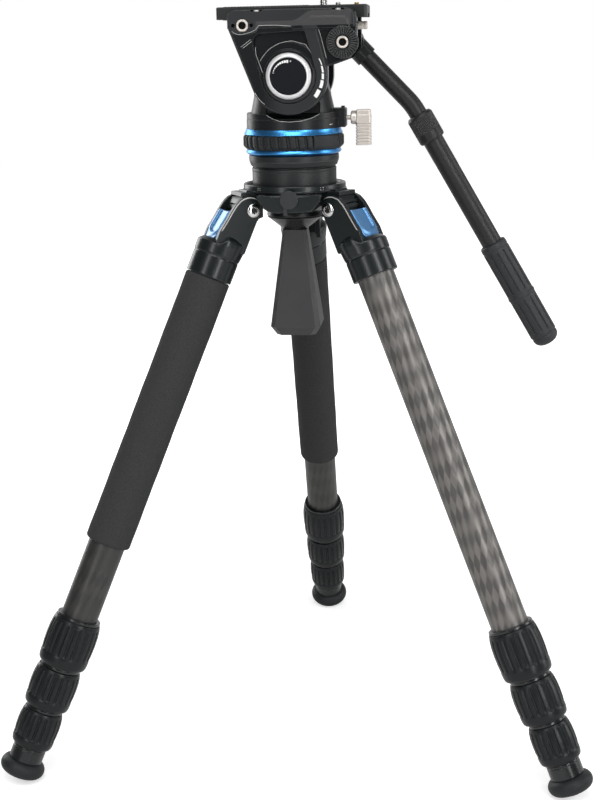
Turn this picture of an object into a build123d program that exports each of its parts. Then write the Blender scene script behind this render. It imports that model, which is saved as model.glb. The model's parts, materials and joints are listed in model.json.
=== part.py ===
from build123d import *
import math
import os

# Video tripod with a fluid head, legs collapsed. Millimetres, +Z up, origin on the floor under the
# pan axis. The camera looks towards -X, the pan handle hangs on the +X, +Y side.

# ---- fits -------------------------------------------------------------------------------------
RUN_FIT = 0.06          # radial clearance of a shaft in its bore
BOND_GAP = 0.05         # glue line between a tube and what is bonded to it
AIR = 0.3               # clearance between faces that move past one another
SEAM = 0.1              # joint line between fixed castings

# ---- legs -------------------------------------------------------------------------------------
LEGS = ("left", "right", "rear")
LEFT_AZIMUTH = 210.0    # the legs stand evenly round the pan axis from here
LEG_AZIMUTH = {name: LEFT_AZIMUTH + 360 / len(LEGS) * i for i, name in enumerate(LEGS)}
PORT_AZIMUTH = (LEG_AZIMUTH["left"] + LEG_AZIMUTH["right"]) / 2    # accessory port between the front legs
FOAM_LEGS = ("left", "rear")
LEG_ANGLE = 24.55       # leg axis from the vertical
HINGE_R = 45.9          # pivot bolts from the pan axis
HINGE_OFFSET = 10.5     # pivot bolt inside the tube axis
TUBE_R = (16.0, 14.0, 12.5, 11.0)
TUBE_WALL = 1.3
TUBE_TOP = (34.4, 70.0, 76.0, 82.0)    # upper end of each tube below the hinge foot
FIRST_LOCK = 381.0                     # where the first twist lock starts
LOCK_LEN = (45.5, 39.3, 36.7)          # twist locks, one below the other
STAGE_TOP = tuple(FIRST_LOCK + sum(LOCK_LEN[:stage]) for stage in range(len(LOCK_LEN)))
STAGE_END = FIRST_LOCK + sum(LOCK_LEN)
SLEEVE_LEN = (20.0, 17.0, 16.0)        # threaded sleeve at each tube's lower end
COLLAR_R = (22.0, 20.5, 18.75)         # widest radius of each twist lock
COLLAR_LIP = 4.6        # solid lower lip of a twist lock
THREAD_RING_H = 3.0     # bare ring above each twist lock
THREAD_WALL = 2.0       # wall of the threaded sleeve
SHELL_WALL = 1.5        # wall of the twist lock's metal shell
COLLET_LEN = 15.0
COLLET_SLIT = 2.5
SHIM_LEN = 25.0         # guide bushes at the top of the sliding tubes
END_LIP = 2.4
FOAM_TOP, FOAM_END = 63.3, 312.0
FOAM_R = 19.6

# shoulder at the top of each leg
EAR_INNER, EAR_OUTER = 9.05, 15.0      # lateral faces of the two ears
EAR_R = 11.0
SHOULDER_R = 18.2       # upper collar of the shoulder
FACET_RISE = 0.8        # ear roots outside the collar
SOCKET_R = 17.4         # lower sleeve of the shoulder
SHOULDER_TOP, SHOULDER_STEP, SOCKET_END = 31.0, 47.0, 63.0
HEEL_N, HEEL_T = -18.6, 26.5
SADDLE_T = 14.0         # top of the block between the ears
SADDLE_N = 2.4          # outer face of that block
PIVOT_R = 3.0
PIVOT_HEAD_R = 6.0
PIVOT_HEAD_H = 2.7
PIVOT_PROUD = 0.9

# angle stop tab
TAB_TOP, TAB_END = 5.2, 28.0
TAB_HALF_W = 8.2
TAB_OUT_TOP, TAB_OUT_END = 9.3, 13.6
TAB_PIN_R = 2.0
TAB_PIN_LEN = 10.0
TAB_PIN_T = (17.5, 24.5)

# foot
STUB_R = 14.5
STUB_LEN = 12.6
STUB_HOLE_R = 1.75
SOLE_DROP = 7.6         # middle of the rubber disc below the stub
FOOT_T = STAGE_END + STUB_LEN + SOLE_DROP
FOOT_RING_R = 12.5
FOOT_EDGE_R = 7.0
SOLE_DOME = 3.2
FOOT_SPIGOT_R = 8.0
FOOT_SPIGOT_LEN = 12.0

THETA = math.radians(LEG_ANGLE)
HINGE_Z = (
    FOOT_T * math.cos(THETA)
    + (FOOT_RING_R - HINGE_OFFSET) * math.sin(THETA)
    + FOOT_EDGE_R
)

# ---- head heights, above the hinge bolts --------------------------------------------------------
LUG_HALF_W = 8.75
LUG_R = 13.0
SPIDER_TOP, SPIDER_RIM, SPIDER_LOW = 17.5, 14.5, -4.3
SPIDER_TOP_R, SPIDER_LOW_R = 44.0, 24.0
SPIDER_KEEL = 20.0      # how far the spider's cone would run on below
RACK_REACH = 20.0       # quadrant of a lug that carries the angle rack
THROUGH = 30.0          # depth that opens a casting right through
BALL_CENTRE = 45.3      # centre of the levelling sphere
BALL_R = 45.0
BALL_FLAT = 4.5         # flat underside of the half ball
LINER_WALL = 1.2
LINER_GAP = 0.1
STEM_R = 5.0
STEM_LOW = -62.0
STEM_HOLE_R = 15.5      # opening under the levelling cup
DISH_R = 55.1           # underside of the spider and top of the clamp pad
PAD_R = 24.5
PAD_SWEEP_R = 35.2      # space under the lugs that the pad sweeps when the ball is tilted
PAD_LOW = -9.0
CONE_LOW, CONE_LOW_R = -20.0, 10.5
GRIP_LOW = -112.0
GRIP_BEVEL, GRIP_BEVEL_H = 5.0, 8.0    # chamfer round the sole of the levelling handle
GRIP_TOP_HALF, GRIP_LOW_HALF = 10.5, 22.0
GRIP_CORNER, GRIP_TOP_CORNER = 4.5, 2.5
BALL_NECK_R = 36.5
BALL_TOP = 31.0
FLANGE_R = 39.6
FLANGE_LOW_R = 38.0
FLANGE_TOP = 43.0
HUB_R = 34.0
HUB_TOP = 64.0
SPINDLE_R = 10.0
SPINDLE_TOP = 84.0
BLUE_LOW_TOP = 47.5     # top of the lower blue band
RUBBER_TOP = 59.0       # top of the rubber band
BLUE_TOP = 65.8         # top of the upper blue band
BLUE_R = 41.4
BLUE_FLARE_R = 43.0
RING_CORE_R = 39.5
RUBBER_R = 43.6
PAN_LOW = 66.2
PAN_RIM = 76.0
PAN_R = 40.0
POCKET_TOP, POCKET_SILL, POCKET_FLOOR, POCKET_LIP = 90.0, 80.5, 78.0, 73.8    # pockets under the cheeks
NECK_WALL_TOP = 80.0
NECK_LOW_R, NECK_TOP_HALF = 37.0, 33.0
NECK_TOP = 94.0
POCKET_LEFT, POCKET_RIGHT = -20.5, 25.5

# pan lock
LOCK_AXIS = 74.6
LOCK_BOSS_END, LOCK_BOSS_HALF_Y, LOCK_BOSS_LOW, LOCK_BOSS_TOP = 46.0, 8.5, 67.0, 83.0
LOCK_BOSS_ROOT = 20.0   # start of the boss inside the base
LOCK_SHAFT_R = 1.9
LOCK_SHAFT_IN = 30.0
LOCK_COLLAR_R, LOCK_COLLAR_X, LOCK_COLLAR_LEN = 5.4, 49.8, 4.4
LEVER_X0, LEVER_X1 = 54.2, 66.8
LEVER_HALF_Y = 6.2
LEVER_TOP, LEVER_LOW = 81.0, 51.5
LEVER_RIBS, LEVER_RIB_PITCH = 7, 2.6

# tilt cage
LOBE_R = 32.3           # round lower end of a cheek
LOBE_GAP = 0.7          # under the lobe, above the pocket floor
TILT_X, TILT_H = 1.0, POCKET_FLOOR + LOBE_GAP + LOBE_R
CHEEK_INNER, CHEEK_FACE, CHEEK_OUTER = 25.8, 37.2, 38.4
CHEEK_RISE, BAR_DEPTH = 54.0, 15.0      # top of a cheek above the axle, depth of its top bar
CHEEK_TOP = TILT_H + CHEEK_RISE
BAR_LOW = CHEEK_TOP - BAR_DEPTH
CHEEK_HEEL = BAR_LOW + 0.5              # where the sloping front edge starts
SPINE_BACK, FACET_FRONT = 23.0, 3.6
TEETH = 32
CHEEK_FRONT, CHEEK_BACK = -49.0, 57.8
RECESS_R = 23.0         # hollow round the dial
RECESS_CORNERS = ((-21.0, -11.5, 7.5), (13.0, -5.0, 2.5))    # x, height from the bar, radius
YOKE_HALF_W = 25.2
YOKE_R = 26.0
AXLE_R = 8.0
AXLE_END = 34.6
DRUM_R = 18.0
POCKET_DEPTH = 5.0
BOSS_R, BOSS_DROP = 27.6, 2.2
DIAL_R, DIAL_FACE_R = 18.5, 15.2
DIAL_SEAT_DEPTH = 1.8
DIAL_PROUD = 5.0
DIAL_HUB_R = 6.0
PORT_X, PORT_H = -36.5, BAR_LOW + 2.4
PORT_PIN_PITCH, PORT_PIN_R = 7.6, 1.7
INSERT_R, INSERT_BORE_R = 4.8, 3.2
ROSETTE_X, ROSETTE_H = 46.0, BAR_LOW - 12.5
ROSETTE_R, ROSETTE_RISE = 12.8, 1.4
EDGE_SCREW_X = (-24.7, 42.6)
EDGE_SCREW_R = 2.2
TILT_LOCK_X, TILT_LOCK_H = -14.0, TILT_H - 19.5
TILT_LOCK_R = 2.0
TILT_LEVER_LEN = 26.0

# plate
BED_LOW = BAR_LOW - 3.0
BED_TOP = BED_LOW + 10.2
BED_FRONT, BED_BACK = -47.0, 54.0
BED_CORE_W = 19.4       # rail that guides the plate
BED_RELIEF = (-30.0, 16.0, 14.0, 4.0)   # hollow under the bed: two ends, half width, depth
RAIL_H = 3.2
PLATE_LOW = BED_TOP + AIR
PLATE_TOP = PLATE_LOW + 10.1
PLATE_FRONT, PLATE_BACK = -60.0, 65.5
PLATE_HALF_W = 25.4
PLATE_SLOT_W = 20.0
SCREW_X, SCREW_R, SCREW_PROUD = 27.8, 3.175, 5.0
SCREW_NECK_R, SCREW_THREAD_LOW = 2.5, 0.5              # relieved shank, start of the thread
SCREW_HEAD_R, SCREW_HEAD_H = 8.0, 3.5
SCREW_SLOT_HALF = 6.0
FRONT_SLOT_X, FRONT_SLOT_LEN = -26.0, 40.0
PIN_X, PIN_R, PIN_PROUD = 40.0, 2.1, 2.5
STOP_X, STOP_R, STOP_PROUD = 55.6, 2.0, 2.0
BUTTON_X0, BUTTON_X1, BUTTON_R = 57.2, 65.4, 3.3
BUTTON_Y, BUTTON_H = -12.0, BED_LOW + 3.8
BUTTON_STEM_R, BUTTON_STEM_LEN = 2.0, 16.0

# pan handle, on the far side of the rear cheek
HANDLE_Y = 48.2
UPPER_DROP, LOWER_DROP = 46.0, 60.2    # slope of the two straights below the horizontal
BEND_R = 60.0
UPPER_LEN = 72.0        # upper straight, from the bend corner up
TUBE_END_OUT, TUBE_END_DROP = 5.4846, 3.7075            # upper end of the tube, from the rosette
BEND_X = ROSETTE_X + TUBE_END_OUT + UPPER_LEN * math.cos(math.radians(UPPER_DROP))
BEND_H = ROSETTE_H - TUBE_END_DROP - UPPER_LEN * math.sin(math.radians(UPPER_DROP))
UPPER_TUBE_R = 8.0
UPPER_WALL = 1.5
UPPER_IN = 168.0        # upper tube below the bend corner
SOCKET_GRIP, SOCKET_CAP, CLAMP_SOCKET_R = 14.0, 6.0, 9.8    # clamp socket below and above the tube's end
SOCKET_FROM, SOCKET_TO = UPPER_LEN - SOCKET_GRIP, UPPER_LEN + SOCKET_CAP
COLLAR_FROM, COLLAR_TO, HANDLE_COLLAR_R = 10.5, 35.5, 11.6
LOWER_TUBE_R = 9.2
LOWER_FROM, LOWER_TO = 22.0, 236.0
HANDLE_GRIP_R = 12.1
HANDLE_GRIP_FROM, HANDLE_GRIP_TO = 146.0, 241.0
KNOB_R, KNOB_LEN = 10.5, 12.0
CLAMP_BOLT_R, CLAMP_BOLT_TIP = 3.1, 3.0

PLUG_R = 7.9
PLUG_H = 10.0
BOSS_Y, BOSS_ROOT = 49.6, 30.0          # front face of the port boss, and where it starts
APRON_TOP_HALF, APRON_LOW_HALF, APRON_LOW = 26.0, 18.0, 0.5
PLUG_THICK = 2.4


# ---- building blocks ----------------------------------------------------------------------------
def rod(radius, low, high):
    """Cylinder on Z between two heights."""
    return Pos(0, 0, low) * Cylinder(radius, high - low, align=(Align.CENTER, Align.CENTER, Align.MIN))


def rod_x(radius, x0, x1, y, z):
    """Cylinder along X."""
    return Pos(x0, y, z) * Rot(Y=90) * rod(radius, 0, x1 - x0)


def rod_y(radius, y0, y1, x, z):
    """Cylinder along Y."""
    return Pos(x, y0, z) * Rot(X=-90) * rod(radius, 0, y1 - y0)


def block(x0, x1, y0, y1, z0, z1):
    """Box between two corners."""
    return Pos(x0, y0, z0) * Box(x1 - x0, y1 - y0, z1 - z0, align=(Align.MIN, Align.MIN, Align.MIN))


def turned(*points):
    """Solid of revolution about Z from (radius, height) points."""
    return revolve(Plane.XZ * Polygon(*points), Axis.Z)


def turned_down(*points):
    """Solid of revolution about a leg's axis from (radius, distance down) points."""
    return turned(*[(r, -t) for r, t in points])


def plate_y(sketch, y0, y1):
    """Sketch in (x, height) made solid between two values of y."""
    return Pos(0, y1, 0) * extrude(Plane.XZ * sketch, y1 - y0, dir=(0, -1, 0))


def corner(sketch, point, radius):
    """Round the sketch corner that lies nearest to a point."""
    near = min(sketch.vertices(), key=lambda v: (v.X - point[0]) ** 2 + (v.Y - point[1]) ** 2)
    return fillet(near, radius)


def rounded(sketch, corners):
    """Round several corners, given as (x, y, radius)."""
    for x, y, radius in corners:
        sketch = corner(sketch, (x, y), radius)
    return sketch


def hull(*sketches):
    """Convex outline round several sketches."""
    edges = [edge for sketch in sketches for edge in sketch.edges()]
    face = make_hull(edges).face()
    return Sketch() + (face if face.normal_at().Z > 0 else -face)


def outline(*points):
    """Polygon that faces up, whichever way round its corners are given."""
    made = Polygon(*points)
    return made if made.face().normal_at().Z > 0 else Polygon(*reversed(points))


def plate_x(sketch, x0, x1):
    """Sketch in (y, z) extruded from x0 to x1."""
    return extrude(Plane.YZ.offset(x0) * sketch, x1 - x0, dir=(1, 0, 0))


def cut_square(half, cut):
    """Square with its corners cut off."""
    near = half - cut
    return Polygon(
        (half, -near), (half, near), (near, half), (-near, half),
        (-half, near), (-half, -near), (-near, -half), (near, -half),
    )


def lift(shape):
    """From heights above the hinge bolts to heights above the floor."""
    return Pos(0, 0, HINGE_Z) * shape


def on_leg(name, shape):
    """From a leg's own frame (x outward, y across, z up the tube) to its place."""
    hinge = Rot(Z=LEG_AZIMUTH[name]) * Pos(HINGE_R, 0, HINGE_Z)
    return hinge * Rot(Y=-LEG_ANGLE) * Pos(HINGE_OFFSET, 0, 0) * shape


def at_port(shape):
    """From a port that faces -Y to its place between the front legs."""
    return Rot(Z=PORT_AZIMUTH - 270) * shape


# ---- leg parts, in the leg's own frame ------------------------------------------------------------
def ear_outline():
    """Side view of one ear: round eye, straight sides, stepped down to the socket."""
    eye = Pos(-HINGE_OFFSET, 0) * Circle(EAR_R)
    cheek = Polygon(
        (TAB_OUT_TOP - 0.6, -TAB_TOP - 1.5), (TAB_OUT_END + 0.4, -HEEL_T - 1.0),
        (HEEL_N, -HEEL_T), (HEEL_N + 4.0, -TAB_TOP - 4.0),
    )
    return hull(eye, cheek)


def shoulder():
    """Casting that carries the tube and forks round the spider's lug."""
    ear = plate_y(ear_outline(), -EAR_OUTER, -EAR_INNER)
    ear = chamfer(ear.faces().sort_by(Axis.Y)[0].edges(), 0.9)
    body = ear + mirror(ear, Plane.XZ)
    root = Polygon(
        (HEEL_N, -HEEL_T + 0.5), (TAB_OUT_END, -HEEL_T + 0.5), (SHOULDER_R + 2, -SHOULDER_TOP - 1.5),
        (SHOULDER_R + 2, -SHOULDER_STEP + 8), (-SHOULDER_R, -SHOULDER_STEP + 8),
    )
    roots = plate_y(root, -EAR_OUTER, -EAR_INNER) + plate_y(root, EAR_INNER, EAR_OUTER)
    body += roots & rod(SHOULDER_R + FACET_RISE, -SHOULDER_STEP, 0)
    saddle = Polygon(
        (HEEL_N, -HEEL_T), (HEEL_N + 2.6, -SADDLE_T), (SADDLE_N, -SADDLE_T),
        (SADDLE_N, -SHOULDER_TOP - 4), (2.0 - SHOULDER_R, -SHOULDER_TOP - 4),
    )
    body += plate_y(saddle, -EAR_OUTER, EAR_OUTER)
    body += turned_down(
        (0, SHOULDER_TOP), (SHOULDER_R - 1.4, SHOULDER_TOP), (SHOULDER_R, SHOULDER_TOP + 2.4),
        (SHOULDER_R, SHOULDER_STEP - 1.0), (SOCKET_R, SHOULDER_STEP), (SOCKET_R, SOCKET_END),
        (0, SOCKET_END),
    )
    body -= rod(TUBE_R[0] + BOND_GAP, -SOCKET_END - 1, -TUBE_TOP[0] + SEAM)
    body -= rod_y(PIVOT_R + RUN_FIT, -EAR_OUTER - 1, EAR_OUTER + 1, -HINGE_OFFSET, 0)
    recess = PIVOT_HEAD_H - PIVOT_PROUD + SEAM
    for side in (-1, 1):
        y0, y1 = sorted((side * (EAR_OUTER - recess), side * (EAR_OUTER + 1)))
        body -= rod_y(PIVOT_HEAD_R + AIR, y0, y1, -HINGE_OFFSET, 0)
    for t in TAB_PIN_T:
        body -= rod_x(TAB_PIN_R + RUN_FIT, SADDLE_N - TAB_PIN_LEN - 1, SADDLE_N + 1, 0, -t)
    return body


def angle_tab():
    """Pull-out stop: a curved thumb piece on two guide pins."""
    back = SADDLE_N + AIR
    side = Polygon((back, -TAB_TOP), (TAB_OUT_TOP, -TAB_TOP), (TAB_OUT_END, -TAB_END), (back, -TAB_END))
    side = rounded(side, [(TAB_OUT_TOP, -TAB_TOP, 2.0), (TAB_OUT_END, -TAB_END, 2.5)])
    tab = plate_y(side, -TAB_HALF_W, TAB_HALF_W)
    dish_r = 26.0
    middle = (TAB_TOP + TAB_END) / 2 - 3.0
    tab -= rod_y(dish_r, -TAB_HALF_W + 2.6, TAB_HALF_W - 2.6, TAB_OUT_END + dish_r - 3.6, -middle)
    for t in TAB_PIN_T:
        tab += rod_x(TAB_PIN_R, back - TAB_PIN_LEN, back + 1, 0, -t)
    return tab


def carbon_tube(stage, end):
    """Plain tube of one stage."""
    r = TUBE_R[stage]
    return rod(r, -end, -TUBE_TOP[stage]) - rod(r - TUBE_WALL, -end - 1, -TUBE_TOP[stage] + 1)


def tube_end(stage):
    """Distance down to a tube's lower end, inside its threaded sleeve."""
    return STAGE_TOP[stage] + SLEEVE_LEN[stage] - END_LIP - SEAM


def guide_bush(stage):
    """Bush bonded round the top of a sliding tube, running in the tube above."""
    outer = TUBE_R[stage - 1] - TUBE_WALL - RUN_FIT
    top = TUBE_TOP[stage]
    return rod(outer, -top - SHIM_LEN, -top) - rod(TUBE_R[stage] + BOND_GAP, -top - SHIM_LEN - 1, -top + 1)


def thread_sleeve(stage):
    """Threaded sleeve bonded on the lower end of a tube, with a bare ring on top."""
    r = TUBE_R[stage]
    top, end = STAGE_TOP[stage] + AIR, STAGE_TOP[stage] + SLEEVE_LEN[stage]
    inner, inside = r + BOND_GAP, TUBE_R[stage + 1] + AIR
    lip = end - END_LIP
    ring = r + THREAD_WALL + 1.3
    return turned_down(
        (inner, top), (ring - 0.8, top), (ring, top + 0.8), (ring, top + THREAD_RING_H - AIR),
        (r + THREAD_WALL, top + THREAD_RING_H - AIR), (r + THREAD_WALL, end), (inside, end),
        (inside, lip), (inner, lip),
    )


def collet(stage):
    """Split ring that grips the next tube."""
    below = TUBE_R[stage + 1]
    top = STAGE_TOP[stage] + SLEEVE_LEN[stage] + AIR
    outer = TUBE_R[stage] + THREAD_WALL - 0.6
    ring = turned_down(
        (below + RUN_FIT, top), (outer, top), (outer, top + COLLET_LEN - 5),
        (outer - 2, top + COLLET_LEN), (below + RUN_FIT, top + COLLET_LEN),
    )
    return ring - block(0, outer + 1, -COLLET_SLIT / 2, COLLET_SLIT / 2, -top - COLLET_LEN - 1, -top + 1)


def tube_node(stage):
    """A tube with all that is bonded to it, as separate solids."""
    if stage == len(STAGE_TOP):
        end = STAGE_END + STUB_LEN - 2
        return [carbon_tube(stage, end), guide_bush(stage), foot_stub()]
    solids = [carbon_tube(stage, tube_end(stage)), thread_sleeve(stage), collet(stage)]
    if stage:
        solids.append(guide_bush(stage))
    return solids


def twist_collar(stage):
    """Twist lock: metal shell threaded on the sleeve, and the ribbed rubber round it."""
    r, wide = TUBE_R[stage], COLLAR_R[stage]
    top = STAGE_TOP[stage] + AIR + THREAD_RING_H
    ends = (*STAGE_TOP, STAGE_END)
    low = ends[stage + 1]
    bore = r + THREAD_WALL + RUN_FIT
    shell_r = bore + SHELL_WALL
    below = TUBE_R[stage + 1] + AIR
    lip = low - COLLAR_LIP
    shell = turned_down(
        (bore, top), (shell_r, top), (shell_r, lip - 4), (shell_r - 0.8, low), (below, low),
        (below, lip), (bore - 1.6, lip), (bore, lip - 5),
    )
    rubber_r = shell_r + BOND_GAP
    span = lip - top
    rubber = turned_down(
        (rubber_r, top), (wide - 1.9, top), (wide - 1.1, top + 0.10 * span),
        (wide - 0.3, top + 0.28 * span), (wide, top + 0.48 * span), (wide - 0.25, top + 0.72 * span),
        (wide - 1.1, top + 0.93 * span),
        (wide - 1.1, lip + 1.6), (wide - 1.9, lip + 3.4), (rubber_r + 0.4, lip + 3.4), (rubber_r, lip - 4),
    )
    return [shell, rubber]


def foot_stub():
    """Metal ferrule on the lowest tube, with a cross hole."""
    low, end = STAGE_END + AIR, STAGE_END + AIR + STUB_LEN
    stub = turned_down(
        (TUBE_R[3] + BOND_GAP, low), (STUB_R - 0.6, low), (STUB_R, low + 0.6), (STUB_R, end),
        (FOOT_SPIGOT_R + RUN_FIT, end), (FOOT_SPIGOT_R + RUN_FIT, end - 2.4),
        (TUBE_R[3] + BOND_GAP, end - 2.4),
    )
    across = STUB_R + 1
    return stub - rod_y(STUB_HOLE_R, -across, -TUBE_R[3] - 0.4, 0, -(low + end) / 2)


def foot():
    """Rubber foot: a thick disc with a domed sole, on a spigot."""
    top = STAGE_END + AIR + STUB_LEN + SEAM
    sole = FOOT_T + FOOT_EDGE_R
    dome_r = (FOOT_RING_R ** 2 + SOLE_DOME ** 2) / (2 * SOLE_DOME)
    disc = rod(FOOT_RING_R, -sole, -top) + Pos(0, 0, -FOOT_T) * Torus(FOOT_RING_R, FOOT_EDGE_R)
    dome = Pos(0, 0, dome_r - sole - SOLE_DOME) * Sphere(dome_r)
    dome &= rod(FOOT_RING_R, -sole - SOLE_DOME - 1, -sole + 1)
    return disc + dome + rod(FOOT_SPIGOT_R, -top - 1, -top + FOOT_SPIGOT_LEN)


def foam_grip():
    """Foam sleeve on the upper tube."""
    edge = 1.6
    return turned_down(
        (TUBE_R[0] + BOND_GAP, FOAM_TOP), (FOAM_R - edge, FOAM_TOP), (FOAM_R, FOAM_TOP + edge),
        (FOAM_R, FOAM_END - edge), (FOAM_R - edge, FOAM_END), (TUBE_R[0] + BOND_GAP, FOAM_END),
    )


def pivot_bolt():
    """Pivot bolt through one lug, with a button head at each end."""
    out = EAR_OUTER + PIVOT_PROUD
    bolt = rod_y(PIVOT_R, -out + 1, out - 1, -HINGE_OFFSET, 0)
    for side in (-1, 1):
        y0, y1 = sorted((side * (out - PIVOT_HEAD_H), side * out))
        head = rod_y(PIVOT_HEAD_R, y0, y1, -HINGE_OFFSET, 0)
        rim = head.edges().filter_by(GeomType.CIRCLE).sort_by(Axis.Y)
        head = chamfer(rim[-1] if side > 0 else rim[0], 1.0)
        y0, y1 = sorted((side * (out - 1.6), side * (out + 1)))
        head -= Pos(-HINGE_OFFSET, y0, 0) * Rot(X=-90) * extrude(RegularPolygon(2.3, 6), y1 - y0)
        bolt += head
    return bolt


# ---- spider and levelling base, heights above the hinge ------------------------------------------
def lug_outline():
    """Side view of a lug in (distance from the pan axis, height)."""
    eye = Pos(HINGE_R, 0) * Circle(LUG_R - 2.6)
    arm = outline((22, SPIDER_LOW + 1.5), (22, SPIDER_RIM), (HINGE_R, LUG_R - 2.6), (HINGE_R, -LUG_R + 4))
    ridge = outline((30, 6), (30, SPIDER_TOP - 1.0), (48.6, SPIDER_TOP - 1.0), (50.2, 13.6), (50.2, 6))
    rack = Pos(HINGE_R, 0) * Circle(LUG_R)
    far = HINGE_R + RACK_REACH
    rack &= Polygon((HINGE_R - 2, -3), (HINGE_R - 2, RACK_REACH), (far, RACK_REACH), (far, 3))
    notches = [
        Pos(HINGE_R, 0) * Rot(Z=a) * Pos(LUG_R, 0) * Rectangle(4.0, 2.6) for a in (26, 54)
    ]
    return hull(eye, arm) + ridge + (rack - notches)


def spider():
    """Casting with the levelling cup, three lugs and the accessory port boss."""
    body = turned(
        (0, SPIDER_LOW - SPIDER_KEEL), (SPIDER_LOW_R, SPIDER_LOW), (SPIDER_TOP_R, SPIDER_RIM),
        (SPIDER_TOP_R, SPIDER_TOP - 1), (SPIDER_TOP_R - 1, SPIDER_TOP), (0, SPIDER_TOP),
    )
    body &= Pos(0, 0, BALL_CENTRE) * Sphere(DISH_R)
    apron = Polygon(
        (-APRON_TOP_HALF, SPIDER_RIM - 1), (APRON_TOP_HALF, SPIDER_RIM - 1),
        (APRON_LOW_HALF, APRON_LOW), (-APRON_LOW_HALF, APRON_LOW),
    )
    apron = plate_y(apron, -BOSS_Y, -BOSS_ROOT)
    body += at_port(chamfer(apron.faces().sort_by(Axis.Y)[0].edges(), 1.6))
    for azimuth in LEG_AZIMUTH.values():
        body += Rot(Z=azimuth) * plate_y(lug_outline(), -LUG_HALF_W, LUG_HALF_W)
    body -= Pos(0, 0, BALL_CENTRE) * Sphere(BALL_R + LINER_WALL + 2 * LINER_GAP)
    body -= rod(STEM_HOLE_R, SPIDER_LOW - THROUGH, SPIDER_TOP + 1)
    body -= rod(PAD_SWEEP_R, SPIDER_LOW - THROUGH, 2) - Pos(0, 0, BALL_CENTRE) * Sphere(DISH_R)
    for azimuth in LEG_AZIMUTH.values():
        body -= Rot(Z=azimuth) * rod_y(PIVOT_R + BOND_GAP, -LUG_HALF_W - 1, LUG_HALF_W + 1, HINGE_R, 0)
    return body - at_port(rod_y(CLAMP_BOLT_R + RUN_FIT, -BOSS_Y - 1, -BOSS_Y + 6.5, 0, PLUG_H))


def port_plug():
    """Rubber plug in the front port, with its pull strap."""
    y0 = -BOSS_Y - SEAM - PLUG_THICK
    plug = rod_y(PLUG_R, y0, y0 + PLUG_THICK, 0, PLUG_H)
    plug = chamfer(plug.edges().filter_by(GeomType.CIRCLE).sort_by(Axis.Y)[0], 0.7)
    plug += rod_y(CLAMP_BOLT_R, y0 + 1, -BOSS_Y + 5, 0, PLUG_H)
    strap = block(-4.6, -1.4, y0 + 0.4, y0 + PLUG_THICK, PLUG_H - PLUG_R - 5, PLUG_H - PLUG_R + 3)
    return at_port(plug + strap)


def bowl_liner():
    """Low-friction liner between the cup and the ball."""
    outer = BALL_R + LINER_GAP + LINER_WALL
    liner = Pos(0, 0, BALL_CENTRE) * (Sphere(outer) - Sphere(BALL_R + LINER_GAP))
    liner &= rod(BALL_R + 9, -8, SPIDER_TOP - 4.5)
    return liner - rod(STEM_HOLE_R + 2, SPIDER_LOW - THROUGH, SPIDER_TOP)


def half_ball():
    """Half ball with the levelling stem screwed into it."""
    ball = Pos(0, 0, BALL_CENTRE) * Sphere(BALL_R)
    ball &= rod(BALL_NECK_R, BALL_FLAT, BALL_TOP)
    ball -= rod(STEM_R + BOND_GAP, BALL_FLAT - 1, BALL_TOP - 5)
    stem = turned(
        (0, STEM_LOW), (STEM_R - 0.8, STEM_LOW), (STEM_R, STEM_LOW + 0.8), (STEM_R, BALL_TOP - 6),
        (0, BALL_TOP - 6),
    )
    return [ball, stem]


def clamp_cone():
    """Dished clamp pad drawn up under the spider, tapering to the handle."""
    rim = math.sqrt((DISH_R + AIR) ** 2 - PAD_R ** 2)
    cone = turned(
        (0, CONE_LOW), (CONE_LOW_R, CONE_LOW), (PAD_R - 0.5, PAD_LOW - 0.4), (PAD_R, PAD_LOW),
        (PAD_R, BALL_CENTRE - rim + 2), (0, BALL_CENTRE - rim + 2),
    )
    cone -= Pos(0, 0, BALL_CENTRE) * Sphere(DISH_R + AIR)
    return cone - rod(STEM_R + RUN_FIT, CONE_LOW - 1, 10)


def levelling_handle():
    """Square tapered grip threaded on the stem."""
    top = CONE_LOW - SEAM
    wide = Pos(0, 0, GRIP_LOW + GRIP_BEVEL_H) * cut_square(GRIP_LOW_HALF, GRIP_CORNER)
    sole = Pos(0, 0, GRIP_LOW) * cut_square(GRIP_LOW_HALF - GRIP_BEVEL, GRIP_CORNER)
    head = Pos(0, 0, top) * cut_square(GRIP_TOP_HALF, GRIP_TOP_CORNER)
    grip = loft([sole, wide], ruled=True) + loft([wide, head], ruled=True)
    return grip - rod(STEM_R + RUN_FIT, STEM_LOW - 2, 10)


def base_flange():
    """Head base: a flange on the half ball with the hub and pan spindle."""
    return turned(
        (0, BALL_TOP), (FLANGE_LOW_R - 0.6, BALL_TOP), (FLANGE_LOW_R, BALL_TOP + 0.6),
        (FLANGE_R, BALL_TOP + 5.0), (FLANGE_R, FLANGE_TOP - 0.8), (FLANGE_R - 0.8, FLANGE_TOP),
        (HUB_R, FLANGE_TOP), (HUB_R, HUB_TOP),
        (SPINDLE_R + 6, HUB_TOP), (SPINDLE_R + 6, PAN_LOW - AIR), (SPINDLE_R, PAN_LOW - AIR),
        (SPINDLE_R, SPINDLE_TOP), (0, SPINDLE_TOP),
    )


def lock_ring():
    """Blue ring nut that locks the head; the rubber band sits in its groove."""
    low = FLANGE_TOP + AIR
    return turned(
        (HUB_R + RUN_FIT, low), (BLUE_R - 1.6, low), (BLUE_R, low + 1.6), (BLUE_R, BLUE_LOW_TOP),
        (RING_CORE_R, BLUE_LOW_TOP), (RING_CORE_R, RUBBER_TOP), (BLUE_FLARE_R, RUBBER_TOP),
        (BLUE_FLARE_R, RUBBER_TOP + 0.8), (BLUE_R, BLUE_TOP - 0.9), (BLUE_R - 0.9, BLUE_TOP),
        (HUB_R + RUN_FIT, BLUE_TOP),
    )


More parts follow.
